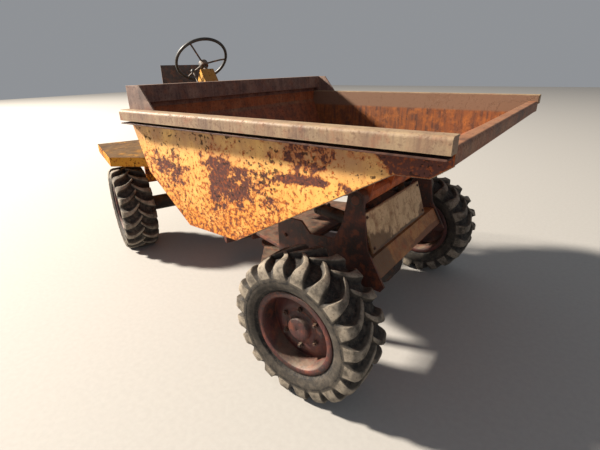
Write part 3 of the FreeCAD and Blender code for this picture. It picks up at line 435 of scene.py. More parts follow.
# %% Rubber, plastic, vinyl and plated steel
def tyre_rubber():
    """Near black in the gaps as painted shade between the bars, and grey with dry mud and cracks on top of the bars."""
    material, tree = new_material("weathered_tyre_rubber")
    where = place_on(tree)
    height = add(tree, "Attribute", {}, attribute_name="tread_height").outputs["Fac"]
    tops = both(tree, above(tree, height, 0.72, 1.0), above(tree, noise(tree, where, 60, 5.0), 0.30, 0.62))
    # The lower a point stands on its bar, the darker it is: painted shade in the gaps between the bars.
    colour = layer(tree, linear("#1B1918"), linear("#3A352F"), above(tree, height, 0.2, 0.6))
    colour = layer(tree, colour, linear("#5E564C"), both(tree, blotches(tree, where, 34, 0.55, 0.12), 0.45))
    colour = layer(tree, colour, linear("#877D6F"), tops)
    colour = layer(tree, colour, linear("#4A4036"), both(tree, blotches(tree, where, 12, 0.60, 0.08, 3.0), 0.6))
    cracks = blotches(tree, where, 4, 0.55, 0.12, 3.0)
    rough = add(tree, "MapRange", {"Value": cracks, "To Min": 0.72, "To Max": 0.92}).outputs[0]
    surface(tree, colour, rough, cracks, 0.5, Specular_IOR_Level=0.35)
    return material


def moulded_plastic():
    material, tree = new_material("moulded_black_plastic")
    where = place_on(tree)
    grain = blotches(tree, where, 2, 0.5, 0.2, 2.0)
    colour = layer(tree, linear("#191919"), linear("#34322F"), blotches(tree, where, 40, 0.55, 0.15))
    rough = add(tree, "MapRange", {"Value": grain, "To Min": 0.38, "To Max": 0.6}).outputs[0]
    surface(tree, colour, rough, grain, 0.1)
    return material


def seat_vinyl():
    material, tree = new_material("embossed_black_vinyl")
    where = place_on(tree)
    pebbles = add(tree, "TexVoronoi", {"Vector": where, "Scale": 260.0}, feature="SMOOTH_F1").outputs[0]
    colour = layer(tree, linear("#1F1E1D"), linear("#3B3733"), blotches(tree, where, 60, 0.55, 0.15))
    surface(tree, colour, 0.5, pebbles, 0.5)
    return material


def plated_rod():
    material, tree = new_material("ground_plated_steel")
    where = place_on(tree)
    rings = blotches(tree, where, 12, 0.6, 0.1, 3.0)
    colour = layer(tree, linear("#B9B6B0"), linear("#7A5A44"), both(tree, rings, 0.5))
    rough = add(tree, "MapRange", {"Value": rings, "To Min": 0.22, "To Max": 0.6}).outputs[0]
    surface(tree, colour, rough, rings, 0.1, 1.0)
    return material


rubber = tyre_rubber()
plastic = moulded_plastic()
vinyl = seat_vinyl()
plating = plated_rod()
spoke_steel = grimy_paint("rubbed_spoke_steel", "#3A322C", "#22201E", "#8A6A50", 0.5, 0.3, 0.4)
burnt_steel = grimy_paint("heat_scaled_silencer_steel", "#6A4636", "#3C2A24", "#8E4E2A", 0.5, 0.3, 0.3)
print("rubber, plastic, vinyl and plating ready")

# %% [markdown]
# ## Dress the solid model
#
# Each node of the solid model is one real piece, so giving it a finish is a matter of saying which. A table of
# finish and names is easier to check than forty assignments.

# %% Assign finishes to the nodes
finishes = {
    skip_enamel: ["skip_side_left", "skip_side_right"],
    cover_enamel: ["engine_cover", "fender_left", "fender_right", "counterweight", "fuel_tank", "pedestal"],
    rim_steel: ["skip_rim_left", "skip_rim_right"],
    head_steel_painted_shade: ["skip_head"],
    floor_steel: ["skip_floor"],
    chassis_grime_and_shade: ["front_side_plates", "pivot_plates", "steering_foot", "centre_yoke",
                    "bearing_plate", "rear_rails", "ram_cross_tube"],
    sheltered_orange: ["skip_hinge"],
    nose_cream: ["nose_plate"],
    beam_paint: ["nose_beam"],
    casting: ["front_axle", "rear_axle", "front_shaft", "gearbox", "engine_block", "exhaust", "tip_ram_barrel",
              "steer_ram_barrel", "steering_column"],
    wheel_paint: ["rim_front_left", "rim_front_right", "rim_rear_left", "rim_rear_right"],
    tread_plate: ["floor_plate"],
    seat_steel: ["seat_frame"],
    plating: ["tip_ram_rod", "steer_ram_rod"],
    plastic: ["steering_wheel", "levers"],
    rubber: ["tyre_front_left", "tyre_front_right", "tyre_rear_left", "tyre_rear_right"],
    vinyl: ["seat_cushion"],
}
dressed = 0
for material, names in finishes.items():
    for name in names:
        if name in nodes:
            nodes[name].data.materials.clear()
            nodes[name].data.materials.append(material)
            dressed += 1
print("dressed", dressed, "of", len(nodes), "bare", sorted(set(nodes) - {n for v in finishes.values() for n in v}))

# %% [markdown]
# ## Small tools for meshes
#
# Pieces that the solid model is too coarse for are built vertex by vertex. One function turns points and faces
# into an object with a finish, on the body that it moves with.

# %% Mesh helper
def make_piece(name, points, faces, material, body, smooth=True):
    """A mesh object in the machine's coordinates that rides on a body."""
    mesh = bpy.data.meshes.new(name)
    mesh.from_pydata([tuple(p) for p in points], [], faces)
    mesh.validate()
    mesh.materials.append(material)
    for polygon in mesh.polygons:
        polygon.use_smooth = smooth
    piece = bpy.data.objects.new(name, mesh)
    bpy.context.scene.collection.objects.link(piece)
    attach(piece, body)
    return piece


print("mesh helper ready")

# %% [markdown]
# ## Turned forms
#
# A tyre's carcass, a wheel's rim and a steering wheel's ring are all one section swept round an axle, so one
# function makes them. The section is a closed loop of distances along the axle and radii. Enough steps round
# the turn keep the outline smooth close up, where the solid model has flats.

# %% Sweep a section round the Y axis
def turned(section, steps):
    """Points and faces of a closed section of (y, radius) swept once round the Y axis."""
    points = []
    faces = []
    count = len(section)
    for i in range(steps):
        turn = 2 * math.pi * i / steps
        points += [(r * math.cos(turn), y, r * math.sin(turn)) for y, r in section]
    for i in range(steps):
        j = (i + 1) % steps
        for k in range(count):
            m = (k + 1) % count
            faces.append((i * count + k, i * count + m, j * count + m, j * count + k))
    return points, faces


def outward_faces(piece):
    """Makes every face of a piece look outwards."""
    mesh = bmesh.new()
    mesh.from_mesh(piece.data)
    bmesh.ops.recalc_face_normals(mesh, faces=mesh.faces)
    mesh.to_mesh(piece.data)
    mesh.free()


def soften(piece, width, angle=40.0, segments=2):
    """Rounds a piece's sharp edges."""
    bevel = piece.modifiers.new("soft_edges", "BEVEL")
    bevel.width = width
    bevel.segments = segments
    bevel.limit_method = "ANGLE"
    bevel.angle_limit = math.radians(angle)
    bevel.harden_normals = False


def turned_onto(form, section, steps, origin, axis):
    """Adds a section turned about the Y axis to a form, then laid along another axis."""
    points, faces = form
    matrix = Matrix.Translation(origin) @ Vector((0, 1, 0)).rotation_difference(axis).to_matrix().to_4x4()
    more, sides = turned(section, steps)
    faces += [tuple(len(points) + k for k in side) for side in sides]
    points += [matrix @ Vector(p) for p in more]


print("turning helper ready")

# %% [markdown]
# ## Places and small forms
#
# The model was drawn in millimetres from the point on the ground under the front axle, and its rear half from
# the centre pivot, in the rear half's own directions. Two functions give such a place in the scene's metres, so
# that a bolt can be put where the drawing has its plate.
#
# Bolts, pipes and brackets are all made of three small forms: a round skin along a path, a block, and a bolt.
# Many of them go into one mesh, because they share a finish and a body.

# %% Places and small forms
model_drop = tyre_radius - 380 * mm
pivot_ground = Vector(joints["articulation"]["pos_m"])
pivot_ground.z = 0.0
rear_forward = Vector(joints["oscillation"]["axis"])
rear_left = Vector((-rear_forward.y, rear_forward.x, 0.0))
rear_up = Vector((0.0, 0.0, 1.0))


def on_front(x, y, z):
    return front_ground + Vector((x, y, z)) * mm + rear_up * model_drop


def on_rear(x, y, z):
    return pivot_ground + (rear_forward * x + rear_left * y + rear_up * z) * mm + rear_up * model_drop


def rear_way(x, y, z):
    """A direction given in the rear half's own directions."""
    return (rear_forward * x + rear_left * y + rear_up * z).normalized()


def add_tube(form, path, radii, steps=24):
    """Adds a round skin along a path, with a radius in millimetres at each point, closed at both ends."""
    points, faces = form
    first = len(points)
    side = None
    for i, place in enumerate(path):
        ahead = path[min(i + 1, len(path) - 1)] - path[max(i - 1, 0)]
        if ahead.length > 1e-6:
            way = ahead.normalized()
        if side is None:
            side = way.orthogonal()
        side = (side - way * side.dot(way)).normalized()
        up = way.cross(side)
        radius = (radii[i] if isinstance(radii, (list, tuple)) else radii) * mm
        for k in range(steps):
            turn = 2 * math.pi * k / steps
            points.append(place + (side * math.cos(turn) + up * math.sin(turn)) * radius)
        if i:
            start = len(points) - 2 * steps
            for k in range(steps):
                after = (k + 1) % steps
                faces.append((start + k, start + after, start + steps + after, start + steps + k))
    faces.append(tuple(first + k for k in reversed(range(steps))))
    faces.append(tuple(len(points) - steps + k for k in range(steps)))


def add_block(form, centre, ways, sizes):
    """Adds a block with its full sizes in millimetres along three directions."""
    points, faces = form
    start = len(points)
    for i in (-1, 1):
        for j in (-1, 1):
            for k in (-1, 1):
                points.append(centre + (ways[0] * i * sizes[0] + ways[1] * j * sizes[1]
                                        + ways[2] * k * sizes[2]) * (mm / 2))
    faces += [tuple(start + k for k in side) for side in
              ((0, 1, 3, 2), (4, 6, 7, 5), (0, 4, 5, 1), (2, 3, 7, 6), (0, 2, 6, 4), (1, 5, 7, 3))]


def add_bolt(form, place, out, size):
    """Adds a washer, a chamfered hexagon head and the thread's end, for a bolt of this size in millimetres."""
    add_tube(form, [place, place + out * 0.18 * size * mm], 1.15 * size, 20)
    low = place + out * 0.16 * size * mm
    add_tube(form, [low, low + out * 0.55 * size * mm, low + out * 0.65 * size * mm],
             [0.95 * size, 0.95 * size, 0.82 * size], 6)
    add_tube(form, [low, low + out * 0.85 * size * mm, low + out * 0.95 * size * mm],
             [0.5 * size, 0.5 * size, 0.4 * size], 12)


def finish_form(name, form, material, body, width=0.0, smooth=True):
    """Makes a piece of a form, with its edges rounded by a width in millimetres."""
    piece = make_piece(name, form[0], form[1], material, body, smooth)
    outward_faces(piece)
    if width:
        soften(piece, width * mm, 35.0, 2)
    else:
        shade_by_angle(piece)
    return piece


def shade_by_angle(piece, angle=35.0):
    """Keeps faces that meet at a steep angle from being shaded as one round surface."""
    mesh = bmesh.new()
    mesh.from_mesh(piece.data)
    for edge in mesh.edges:
        if len(edge.link_faces) == 2 and edge.calc_face_angle(0.0) > math.radians(angle):
            edge.smooth = False
    mesh.to_mesh(piece.data)
    mesh.free()


print("places and forms ready")

# %% [markdown]
# ## Tyres
#
# A farm-pattern tyre has a soft rounded carcass and two rows of tall bars, the lugs. Each bar starts square
# across the shoulder, then sweeps forward and narrows to a nose near the middle of the tread, left and right by
# turns. The bars do the pulling, and their stepped outline is what the eye knows the tyre by. Their flanks lean
# and run into the carcass in a hollow curve, so that earth falls out, and each bar is therefore a row of
# sections with a narrow top and a wide, curved foot.
#
# Mud dries pale on the tops, and the gaps are painted darker than the rubber as shade between the bars, so each
# point also stores how high it stands on its bar.

# %% Tread sizes and the carcass's section
tyre_half_width = 140 * mm
lug_height = 28 * mm
lugs_per_row = 20
lug_lead = math.radians(10.0)
lug_bend = 0.75
lug_stations = (          # share of the half width, half width of the top, drop of the top below the tips
    (-0.08, 10 * mm, 1 * mm),
    (0.02, 11.5 * mm, 0.0),
    (0.20, 12.5 * mm, 0.0),
    (0.38, 14 * mm, 0.0),
    (0.56, 16.5 * mm, 0.5 * mm),
    (0.72, 19 * mm, 2 * mm),
    (0.86, 22.5 * mm, 8 * mm),
    (0.95, 26 * mm, 20 * mm),
    (0.995, 30 * mm, 42 * mm),
    (1.0, 33 * mm, 74 * mm))
carcass_steps = 120


def carcass_radius(across):
    """Radius of the carcass's tread at a distance across from the tyre's middle."""
    share = abs(across) / tyre_half_width
    return tyre_radius - lug_height - 34 * mm * share ** 3


side_section = [(0.1095, 0.2005), (0.1115, 0.2130), (0.1125, 0.2260), (0.1165, 0.2330), (0.1230, 0.2350),
                (0.1290, 0.2410), (0.1300, 0.2480), (0.1345, 0.2560), (0.1385, 0.2720), (0.1395, 0.2900),
                (0.1375, 0.3040), (0.1320, 0.3150)]
side_section += [(across, carcass_radius(across)) for across in (0.120, 0.100, 0.075, 0.045, 0.015)]
tyre_section = side_section + [(-y, r) for y, r in reversed(side_section)]
print("section points", len(tyre_section), "lugs", 2 * lugs_per_row)

# %% One bar of the tread
def lug(side, turn, source):
    """Sections from the nose by the middle to the shoulder. Each point has its height share."""
    points = []
    heights = []
    faces = []
    worn = source.uniform(0.0, 1.5) * mm
    for share, half, drop in lug_stations:
        y = side * share * tyre_half_width
        lead = lug_lead * (max(0.0, lug_bend - share) / lug_bend) ** 2
        top = tyre_radius - drop - worn - source.uniform(0.0, 0.7) * mm
        foot = carcass_radius(y) - 3 * mm - (30 * mm if share > 0.99 else 0.0)
        depth = max(top - foot, 4 * mm)
        half *= source.uniform(0.96, 1.04)
        for out, r, height in ((half + 0.52 * depth, foot, 0.0), (half + 0.26 * depth, foot + 0.28 * depth, 0.3),
                               (half + 0.10 * depth, foot + 0.65 * depth, 0.7), (half, top, 1.0)):
            points.append((turn + lead - out / r, y, r))
            heights.append(height)
        for out, r, height in ((half, top, 1.0), (half + 0.10 * depth, foot + 0.65 * depth, 0.7),
                               (half + 0.26 * depth, foot + 0.28 * depth, 0.3), (half + 0.52 * depth, foot, 0.0)):
            points.append((turn + lead + out / r, y, r))
            heights.append(height)
    for i in range(len(lug_stations) - 1):
        for k in range(7):
            a = 8 * i + k
            faces.append((a, a + 1, a + 9, a + 8))
    last = 8 * (len(lug_stations) - 1)
    faces += [tuple(range(7, -1, -1)), tuple(range(last, last + 8))]
    return [(r * math.cos(angle), y, r * math.sin(angle)) for angle, y, r in points], heights, faces


def tyre_mesh(seed):
    source = random.Random(seed)
    points, faces = turned(tyre_section, carcass_steps)
    heights = [0.45 if abs(y) > 0.125 else 0.0 for x, y, z in points]
    for row, side in enumerate((1, -1)):
        for i in range(lugs_per_row):
            more, tops, sides = lug(side, 2 * math.pi * (i + 0.5 * row) / lugs_per_row, source)
            start = len(points)
            points += more
            heights += tops
            faces += [tuple(start + k for k in f) for f in sides]
    return points, faces, heights


test_points, test_faces, test_heights = tyre_mesh(1)
print("tyre points", len(test_points), "faces", len(test_faces))

# %% Put a tyre on each wheel
def wheel_matrix(where):
    """Turns a wheel drawn about the Y axis onto its own axle, so that +Y is the wheel's left."""
    joint = joints["wheel_" + where + "_spin"]
    turn = Vector((0, 1, 0)).rotation_difference(Vector(joint["axis"]))
    return Matrix.Translation(Vector(joint["pos_m"])) @ turn.to_matrix().to_4x4()


wheel_places = ["front_left", "front_right", "rear_left", "rear_right"]
for seed, where in enumerate(wheel_places):
    place = wheel_matrix(where)
    points, faces, heights = tyre_mesh(seed)
    tread = make_piece("tread_" + where, [place @ Vector(p) for p in points], faces, rubber, "wheel_" + where)
    stored = tread.data.attributes.new("tread_height", "FLOAT", "POINT")
    stored.data.foreach_set("value", heights)
    outward_faces(tread)
    soften(tread, 3 * mm)
    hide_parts("tyre_" + where)
print("tyres", len(wheel_places))

# %% [markdown]
# ## Wheels
#
# The wheel is pressed steel: a barrel with a rolled flange at each edge that holds the tyre's bead, a drop
# centre that lets the tyre be fitted, and a dished disc welded inside. The hub sits in the disc, under a cap.
# It is held by six studs on a 205 mm circle, the usual pattern for this size of wheel.

# %% Wheel section, outer side towards +Y
barrel_edge = 109 * mm
barrel_sheet = 8 * mm
rim_section = [(-0.1170, 0.2205), (-0.1150, 0.2222), (-0.1110, 0.2215), (-0.1092, 0.2170), (-0.1092, 0.1992),
               (-0.0750, 0.1985), (-0.0600, 0.1950), (0.0600, 0.1950), (0.0750, 0.1985), (0.1092, 0.1992),
               (0.1092, 0.2170), (0.1110, 0.2215), (0.1150, 0.2222), (0.1170, 0.2205), (0.1172, 0.1960),
               (0.1130, 0.1915), (0.0760, 0.1905), (0.0620, 0.1875), (-0.0620, 0.1875), (-0.0760, 0.1905),
               (-0.1130, 0.1915), (-0.1172, 0.1960)]
disc_section = [(0.0480, 0.0880), (0.0480, 0.1180), (0.0450, 0.1280), (0.0260, 0.1600), (0.0180, 0.1780),
                (0.0190, 0.1890), (0.0120, 0.1890), (0.0105, 0.1760), (0.0190, 0.1560), (0.0380, 0.1240),
                (0.0400, 0.1170), (0.0400, 0.0880)]
hub_section = [(-0.0690, 0.0365), (-0.0690, 0.0900), (-0.0640, 0.0920), (0.0400, 0.0920), (0.0480, 0.0915),
               (0.0500, 0.0880), (0.0505, 0.0660), (0.0560, 0.0620), (0.0740, 0.0590), (0.0775, 0.0540),
               (0.0780, 0.0010), (0.0100, 0.0010), (0.0100, 0.0365)]
wheel_steps = 96
stud_circle = 102.5 * mm
nut_across = 13.5 * mm
nut_depth = 14 * mm
disc_face = 48 * mm


def hexagon_nut(centre_x, centre_z, y_face, outward, points, faces):
    """A hexagonal nut and a round stud end, standing out from a face at y_face."""
    for sides, radius, depth in ((6, nut_across, nut_depth), (12, nut_across * 0.55, nut_depth * 1.6)):
        start = len(points)
        for y in (y_face, y_face + outward * depth):
            for i in range(sides):
                turn = 2 * math.pi * i / sides
                points.append((centre_x + radius * math.cos(turn), y, centre_z + radius * math.sin(turn)))
        for i in range(sides):
            j = (i + 1) % sides
            faces.append((start + i, start + j, start + sides + j, start + sides + i))
        faces.append(tuple(start + sides + i for i in range(sides)))


for where in wheel_places:
    outward = 1 if where.endswith("left") else -1
    place = wheel_matrix(where)
    points, faces = [], []
    for section in (rim_section, disc_section, hub_section):
        more, sides = turned([(outward * y, r) for y, r in section], wheel_steps)
        faces += [tuple(len(points) + k for k in f) for f in sides]
        points += more
    wheel = make_piece("pressed_wheel_" + where, [place @ Vector(p) for p in points], faces, wheel_paint,
                       "wheel_" + where)
    outward_faces(wheel)
    soften(wheel, 1.2 * mm, 50.0, 1)
    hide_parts("rim_" + where)
    points, faces = [], []
    for i in range(6):
        turn = math.radians(60 * i + 30)
        hexagon_nut(stud_circle * math.cos(turn), stud_circle * math.sin(turn), outward * disc_face, outward,
                    points, faces)
    nuts = make_piece("wheel_nuts_" + where, [place @ Vector(p) for p in points], faces, casting,
                      "wheel_" + where, False)
    outward_faces(nuts)
print("wheels", len(wheel_places), "nuts", 6 * len(wheel_places))

# %% [markdown]
# ## Steering wheel
#
# The driver's wheel is a thin hard ring moulded on a steel core, and three round steel spokes that drop from
# the ring to a cast hub. Where hands have rubbed the plastic off, the spokes are brown. The ring is one section
# turned about the column, with twice as many steps as the solid model has, and each spoke is a bent round bar.

# %% Steering wheel
steering = joints["steering_wheel_turn"]
steering_axis = Vector(steering["axis"])
steering_place = Vector(steering["pos_m"])
ring_radius = 227
ring_tube = 13
ring_rise = 45
spoke_angles = (94, 212, 330)
ring_section = [((ring_rise + ring_tube * math.cos(turn)) * mm, (ring_radius + ring_tube * math.sin(turn)) * mm)
                for turn in [2 * math.pi * i / 16 for i in range(16)]]
ring_form = ([], [])
turned_onto(ring_form, ring_section, 96, steering_place, steering_axis)
steering_ring = finish_form("steering_ring", ring_form, plastic, "steering_wheel")
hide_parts("steering_wheel")

spokes = ([], [])
wheel_turn = Vector((0, 1, 0)).rotation_difference(steering_axis)
for angle in spoke_angles:
    out = wheel_turn @ Vector((math.cos(math.radians(angle)), 0.0, math.sin(math.radians(angle))))
    route = [(15, 4), (50, 8), (110, 24), (175, 39), (ring_radius, ring_rise)]
    add_tube(spokes, [steering_place + (out * reach + steering_axis * rise) * mm for reach, rise in route], 7.5, 16)
hub_profile = [(-0.0350, 0.0110), (-0.0350, 0.0330), (-0.0300, 0.0380), (0.0020, 0.0415), (0.0100, 0.0400),
               (0.0150, 0.0340), (0.0150, 0.0160), (0.0200, 0.0150), (0.0218, 0.0120), (0.0218, 0.0010),
               (0.0010, 0.0010), (0.0010, 0.0110)]
turned_onto(spokes, hub_profile, 48, steering_place, steering_axis)
finish_form("steering_spokes", spokes, spoke_steel, "steering_wheel")
print("spokes", len(spoke_angles))

# %% [markdown]
# ## Levers
#
# Two levers stand by the driver. The gear lever comes out of the gearbox through a rubber boot with folds, which
# keeps earth out, and the tipping lever turns on a pivot beside the column. Both have round moulded knobs.

# %% Levers, boot and knobs
floor_z = 646


def stick(form, foot, top, bow, radius=8):
    """A round bar from foot to top that bows out a little in its middle."""
    route = []
    for i in range(9):
        share = i / 8
        route.append(foot.lerp(top, share) + bow * math.sin(math.pi * share))
    add_tube(form, route, radius, 16)


def ball(form, centre, radius, steps=24):
    """A round knob with a flat under it."""
    rings = 14
    section = [(-radius * math.cos(math.pi * i / rings) * mm, max(radius * math.sin(math.pi * i / rings), 0.1) * mm)
               for i in range(1, rings + 1)]
    turned_onto(form, [(-radius * 0.97 * mm, 0.1 * mm)] + section, steps, centre, rear_up)


sticks = ([], [])
gear_top = on_rear(-980, -220, floor_z + 430)
tip_pivot = on_rear(-928.5, -100, 1334.8)
tip_top = on_rear(-1133.5, -100, 1539.9)
stick(sticks, on_rear(-860, -220, floor_z + 5), gear_top, rear_left * 4 * mm)
stick(sticks, tip_pivot, tip_top, rear_left * 2 * mm)
add_tube(sticks, [tip_pivot + rear_left * -9 * mm, tip_pivot + rear_left * 40 * mm], 12.5, 24)
add_tube(sticks, [tip_pivot + rear_left * 30 * mm, tip_pivot + rear_left * 39 * mm], 20, 24)
lever_sticks = finish_form("lever_sticks", sticks, spoke_steel, "rear_frame")
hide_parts("levers")
knobs = ([], [])
ball(knobs, gear_top, 20)
ball(knobs, tip_top, 20)
finish_form("lever_knobs", knobs, plastic, "rear_frame")
boot = ([], [])
boot_route = []
boot_radii = []
lean = (gear_top - on_rear(-860, -220, floor_z)).normalized()
for i in range(25):
    boot_route.append(on_rear(-860, -220, floor_z) + lean * i * 4.4 * mm)
    boot_radii.append(40 - i * 1.12 + 3.5 * math.cos(i * math.pi / 2.5))
add_tube(boot, boot_route, boot_radii, 32)
finish_form("gear_lever_boot", boot, plastic, "rear_frame")
print("levers", 2)

# %% [markdown]
# ## Rams
#
# A double-acting ram is a honed tube with a welded foot, a gland nut at its mouth and a plated rod. The gland
# has a groove for its spanner. The barrels stay hollow, so the rod can slide in without cutting through them.

# %% Rams
def ram_pieces(name, base, eye, pin_way, sizes):
    """Barrel and rod of one ram. Sizes: barrel, rod, length, bore start, rod start, boss, pin, eye width."""
    barrel, rod, length, bore_start, rod_start, boss, pin, wide = sizes
    way = (eye - base).normalized()
    body = [(boss + 6, 1), (boss + 6, barrel - 3), (boss + 9, barrel), (length - 62, barrel), (length - 60, barrel - 2),
            (length - 54, barrel - 2), (length - 52, barrel), (length - 30, barrel), (length - 29, barrel - 2.5),
            (length - 22, barrel - 2.5), (length - 21, barrel), (length - 3, barrel), (length, barrel - 3),
            (length, rod + 5), (length - 4, rod + 0.6), (bore_start, rod + 0.6), (bore_start, 1)]
    eye_ring = [(-wide / 2, pin + 0.5), (-wide / 2, boss - 2), (2 - wide / 2, boss), (wide / 2 - 2, boss),
                (wide / 2, boss - 2), (wide / 2, pin + 0.5)]
    form = ([], [])
    turned_onto(form, [(y * mm, r * mm) for y, r in body], 48, base, way)
    turned_onto(form, [(y * mm, r * mm) for y, r in eye_ring], 40, base, pin_way)
    add_tube(form, [base + way * (pin + 4) * mm, base + way * (boss + 8) * mm], wide / 2 - 1, 32)
    port_way = pin_way.cross(way)
    if port_way.z < 0:
        port_way.negate()
    for along in (boss + 40, length - 90):
        root = base + way * along * mm + port_way * (barrel - 4) * mm
        add_tube(form, [root, root + port_way * 15 * mm], 12, 24)
        add_tube(form, [root + port_way * 14 * mm, root + port_way * 22 * mm], 10, 6)
    tube = finish_form(name + "_tube", form, casting, name + "_barrel")
    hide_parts(name + "_barrel")
    form = ([], [])
    add_tube(form, [base + way * rod_start * mm, base + way * (rod_start + 3) * mm,
                    eye - way * (pin + 4) * mm], [rod - 3, rod, rod], 40)
    turned_onto(form, [(y * mm, r * mm) for y, r in eye_ring], 40, eye, pin_way)
    stem = finish_form(name + "_stem", form, plating, name + "_rod")
    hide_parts(name + "_rod")


ram_pieces("tip_ram", on_front(70, 0, 575), on_front(-640, 0, 665), Vector((0, 1, 0)),
           (42, 24, 560, 80, 90, 30, 16, 50))
ram_pieces("steer_ram", on_front(-315, 300, 400), on_front(-865.28, 187.46, 400), Vector((0, 0, 1)),
           (30, 16, 400, 55, 100, 24, 12, 36))
print("rams", 2)

# %% [markdown]
# ## Exhaust and fuel tank
#
# The silencer is a rolled can with a folded seam at each end, held by two strap clamps. Its pipe comes out of
# the engine cover and ends in a slanted cut, which sheds rain. The tank sits in two steel straps.

# %% Exhaust
can_end, can_y, can_z = -1740, -410, 990
exhaust_form = ([], [])
can = [(0, 22), (0, 52), (2, 58), (3, 61), (9, 61), (11, 59.5), (349, 59.5), (351, 61), (357, 61), (358, 58), (360, 52),
       (360, 20), (356, 1), (4, 1)]
turned_onto(exhaust_form, [(y * mm, r * mm) for y, r in can], 64, on_rear(can_end, can_y, can_z), rear_forward)
for along in (70, 280):
    band = [(along, 59), (along, 62), (along + 26, 62), (along + 26, 59)]
    turned_onto(exhaust_form, [(y * mm, r * mm) for y, r in band], 64, on_rear(can_end, can_y, can_z), rear_forward)
    add_block(exhaust_form, on_rear(can_end + along + 13, can_y + 10, can_z - 68), (rear_forward, rear_left, rear_up),
              (26, 14, 24))
    add_bolt(exhaust_form, on_rear(can_end + along + 13, can_y + 3, can_z - 70), -rear_left, 7)
add_tube(exhaust_form, [on_rear(-1560, can_y, can_z), on_rear(-1560, -336, can_z)], 22, 32)
add_tube(exhaust_form, [on_rear(-1560, -342, can_z), on_rear(-1560, -334, can_z)], 32, 32)
tail_start = len(exhaust_form[0])
add_tube(exhaust_form, [on_rear(can_end + 4, can_y, can_z), on_rear(-2050, can_y, can_z)], 22, 32)
for point in exhaust_form[0][tail_start + 32:tail_start + 64]:
    point += rear_forward * ((point.z - can_z * mm - model_drop) * 0.8 - 0.002)
silencer = finish_form("silencer", exhaust_form, burnt_steel, "rear_frame")
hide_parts("exhaust")
print("silencer points", len(exhaust_form[0]))

# %% Tank straps and filler cap
strap_form = ([], [])
tank_low_y, tank_high_y, tank_foot, tank_top, tank_round = 350, 500, 900, 1160, 40
for x in (-1610, -1380):
    outline = [(tank_low_y - 3, tank_foot)]
    for centre_y, first in ((tank_low_y + tank_round, 180), (tank_high_y - tank_round, 90)):
        for i in range(7):
            turn = math.radians(first - 15 * i)
            outline.append((centre_y + (tank_round + 3) * math.cos(turn),
                            tank_top - tank_round + (tank_round + 3) * math.sin(turn)))
    outline.append((tank_high_y + 3, tank_foot))
    points, faces = strap_form
    start = len(points)
    for y, z in outline:
        inward_y = y + (3 if y < 425 else -3) * (0.0 if tank_low_y + 30 < y < tank_high_y - 30 else 1.0)
        inward_z = z - (3 if z > tank_top - 30 else 0)
        for x_edge in (x - 14, x + 14):
            points.append(on_rear(x_edge, y, z))
            points.append(on_rear(x_edge, inward_y, inward_z))
    for i in range(len(outline) - 1):
        a = start + 4 * i
        faces += [(a, a + 2, a + 6, a + 4), (a + 1, a + 5, a + 7, a + 3), (a, a + 4, a + 5, a + 1),
                  (a + 2, a + 3, a + 7, a + 6)]
    last = start + 4 * (len(outline) - 1)
    faces += [(start, start + 1, start + 3, start + 2), (last, last + 2, last + 3, last + 1)]
    for y, out in ((tank_high_y + 3, 1), (tank_low_y - 3, -1)):
        add_bolt(strap_form, on_rear(x, y, tank_foot + 30), rear_left * out, 6)
cap = [(20, 1), (27, 30), (29, 33), (28, 34.5), (0, 34.5), (0, 28), (-4, 28), (-4, 1)]
turned_onto(strap_form, [(y * mm, r * mm) for y, r in cap], 48, on_rear(-1490, 425, 1160), rear_up)
for i in range(3):
    turn = 2 * math.pi * i / 3
    way = rear_forward * math.cos(turn) + rear_left * math.sin(turn)
    add_block(strap_form, on_rear(-1490, 425, 1175) + way * 33 * mm, (way, rear_up.cross(way), rear_up), (8, 12, 20))
finish_form("tank_straps", strap_form, seat_steel, "rear_frame")
print("straps", 2)

# %% [markdown]
# ## Engine cover's hoods, hinges and latches
#
# A pressed louvre has a hood over its slot, so that air comes out and rain stays out. The lid turns on two strap
# hinges at the left and is pulled down by two latches at the right.

# %% Louvre hoods
hood_form = ([], [])


def add_hood(form, start, end, out, drop):
    """A pressed hood along a slot's edge: it stands out from the wall and slopes over the slot."""
    points, faces = form
    first = len(points)
    for place, inset in ((start, 0.0), (end, 0.0)):
        along = (end - start).normalized() * (1 if place is start else -1)
        points += [place - drop * 5 * mm, place + drop * 2 * mm + out * 9 * mm + along * 8 * mm,
                   place + drop * 9 * mm + out * 10 * mm + along * 8 * mm,
                   place + drop * 9 * mm + out * 8 * mm + along * 8 * mm,
                   place + drop * 1 * mm + out * 6 * mm + along * 8 * mm, place + drop * 0 * mm]
    for k in range(6):
        j = (k + 1) % 6
        faces.append((first + k, first + j, first + 6 + j, first + 6 + k))
    faces += [tuple(first + k for k in reversed(range(6))), tuple(first + 6 + k for k in range(6))]


for i in range(2, 6):
    z = 730 + 50 * i + 24
    add_hood(hood_form, on_rear(-2000, -218, z), on_rear(-2000, 218, z), -rear_forward, -rear_up)
for i in range(6):
    x = -1850 + 50 * i
    for side in (1, -1):
        add_hood(hood_form, on_rear(x + 24, side * 330, 943), on_rear(x + 24, side * 330, 1032), rear_left * side,
                 -rear_forward)
finish_form("louvre_hoods", hood_form, cover_enamel, "rear_frame")

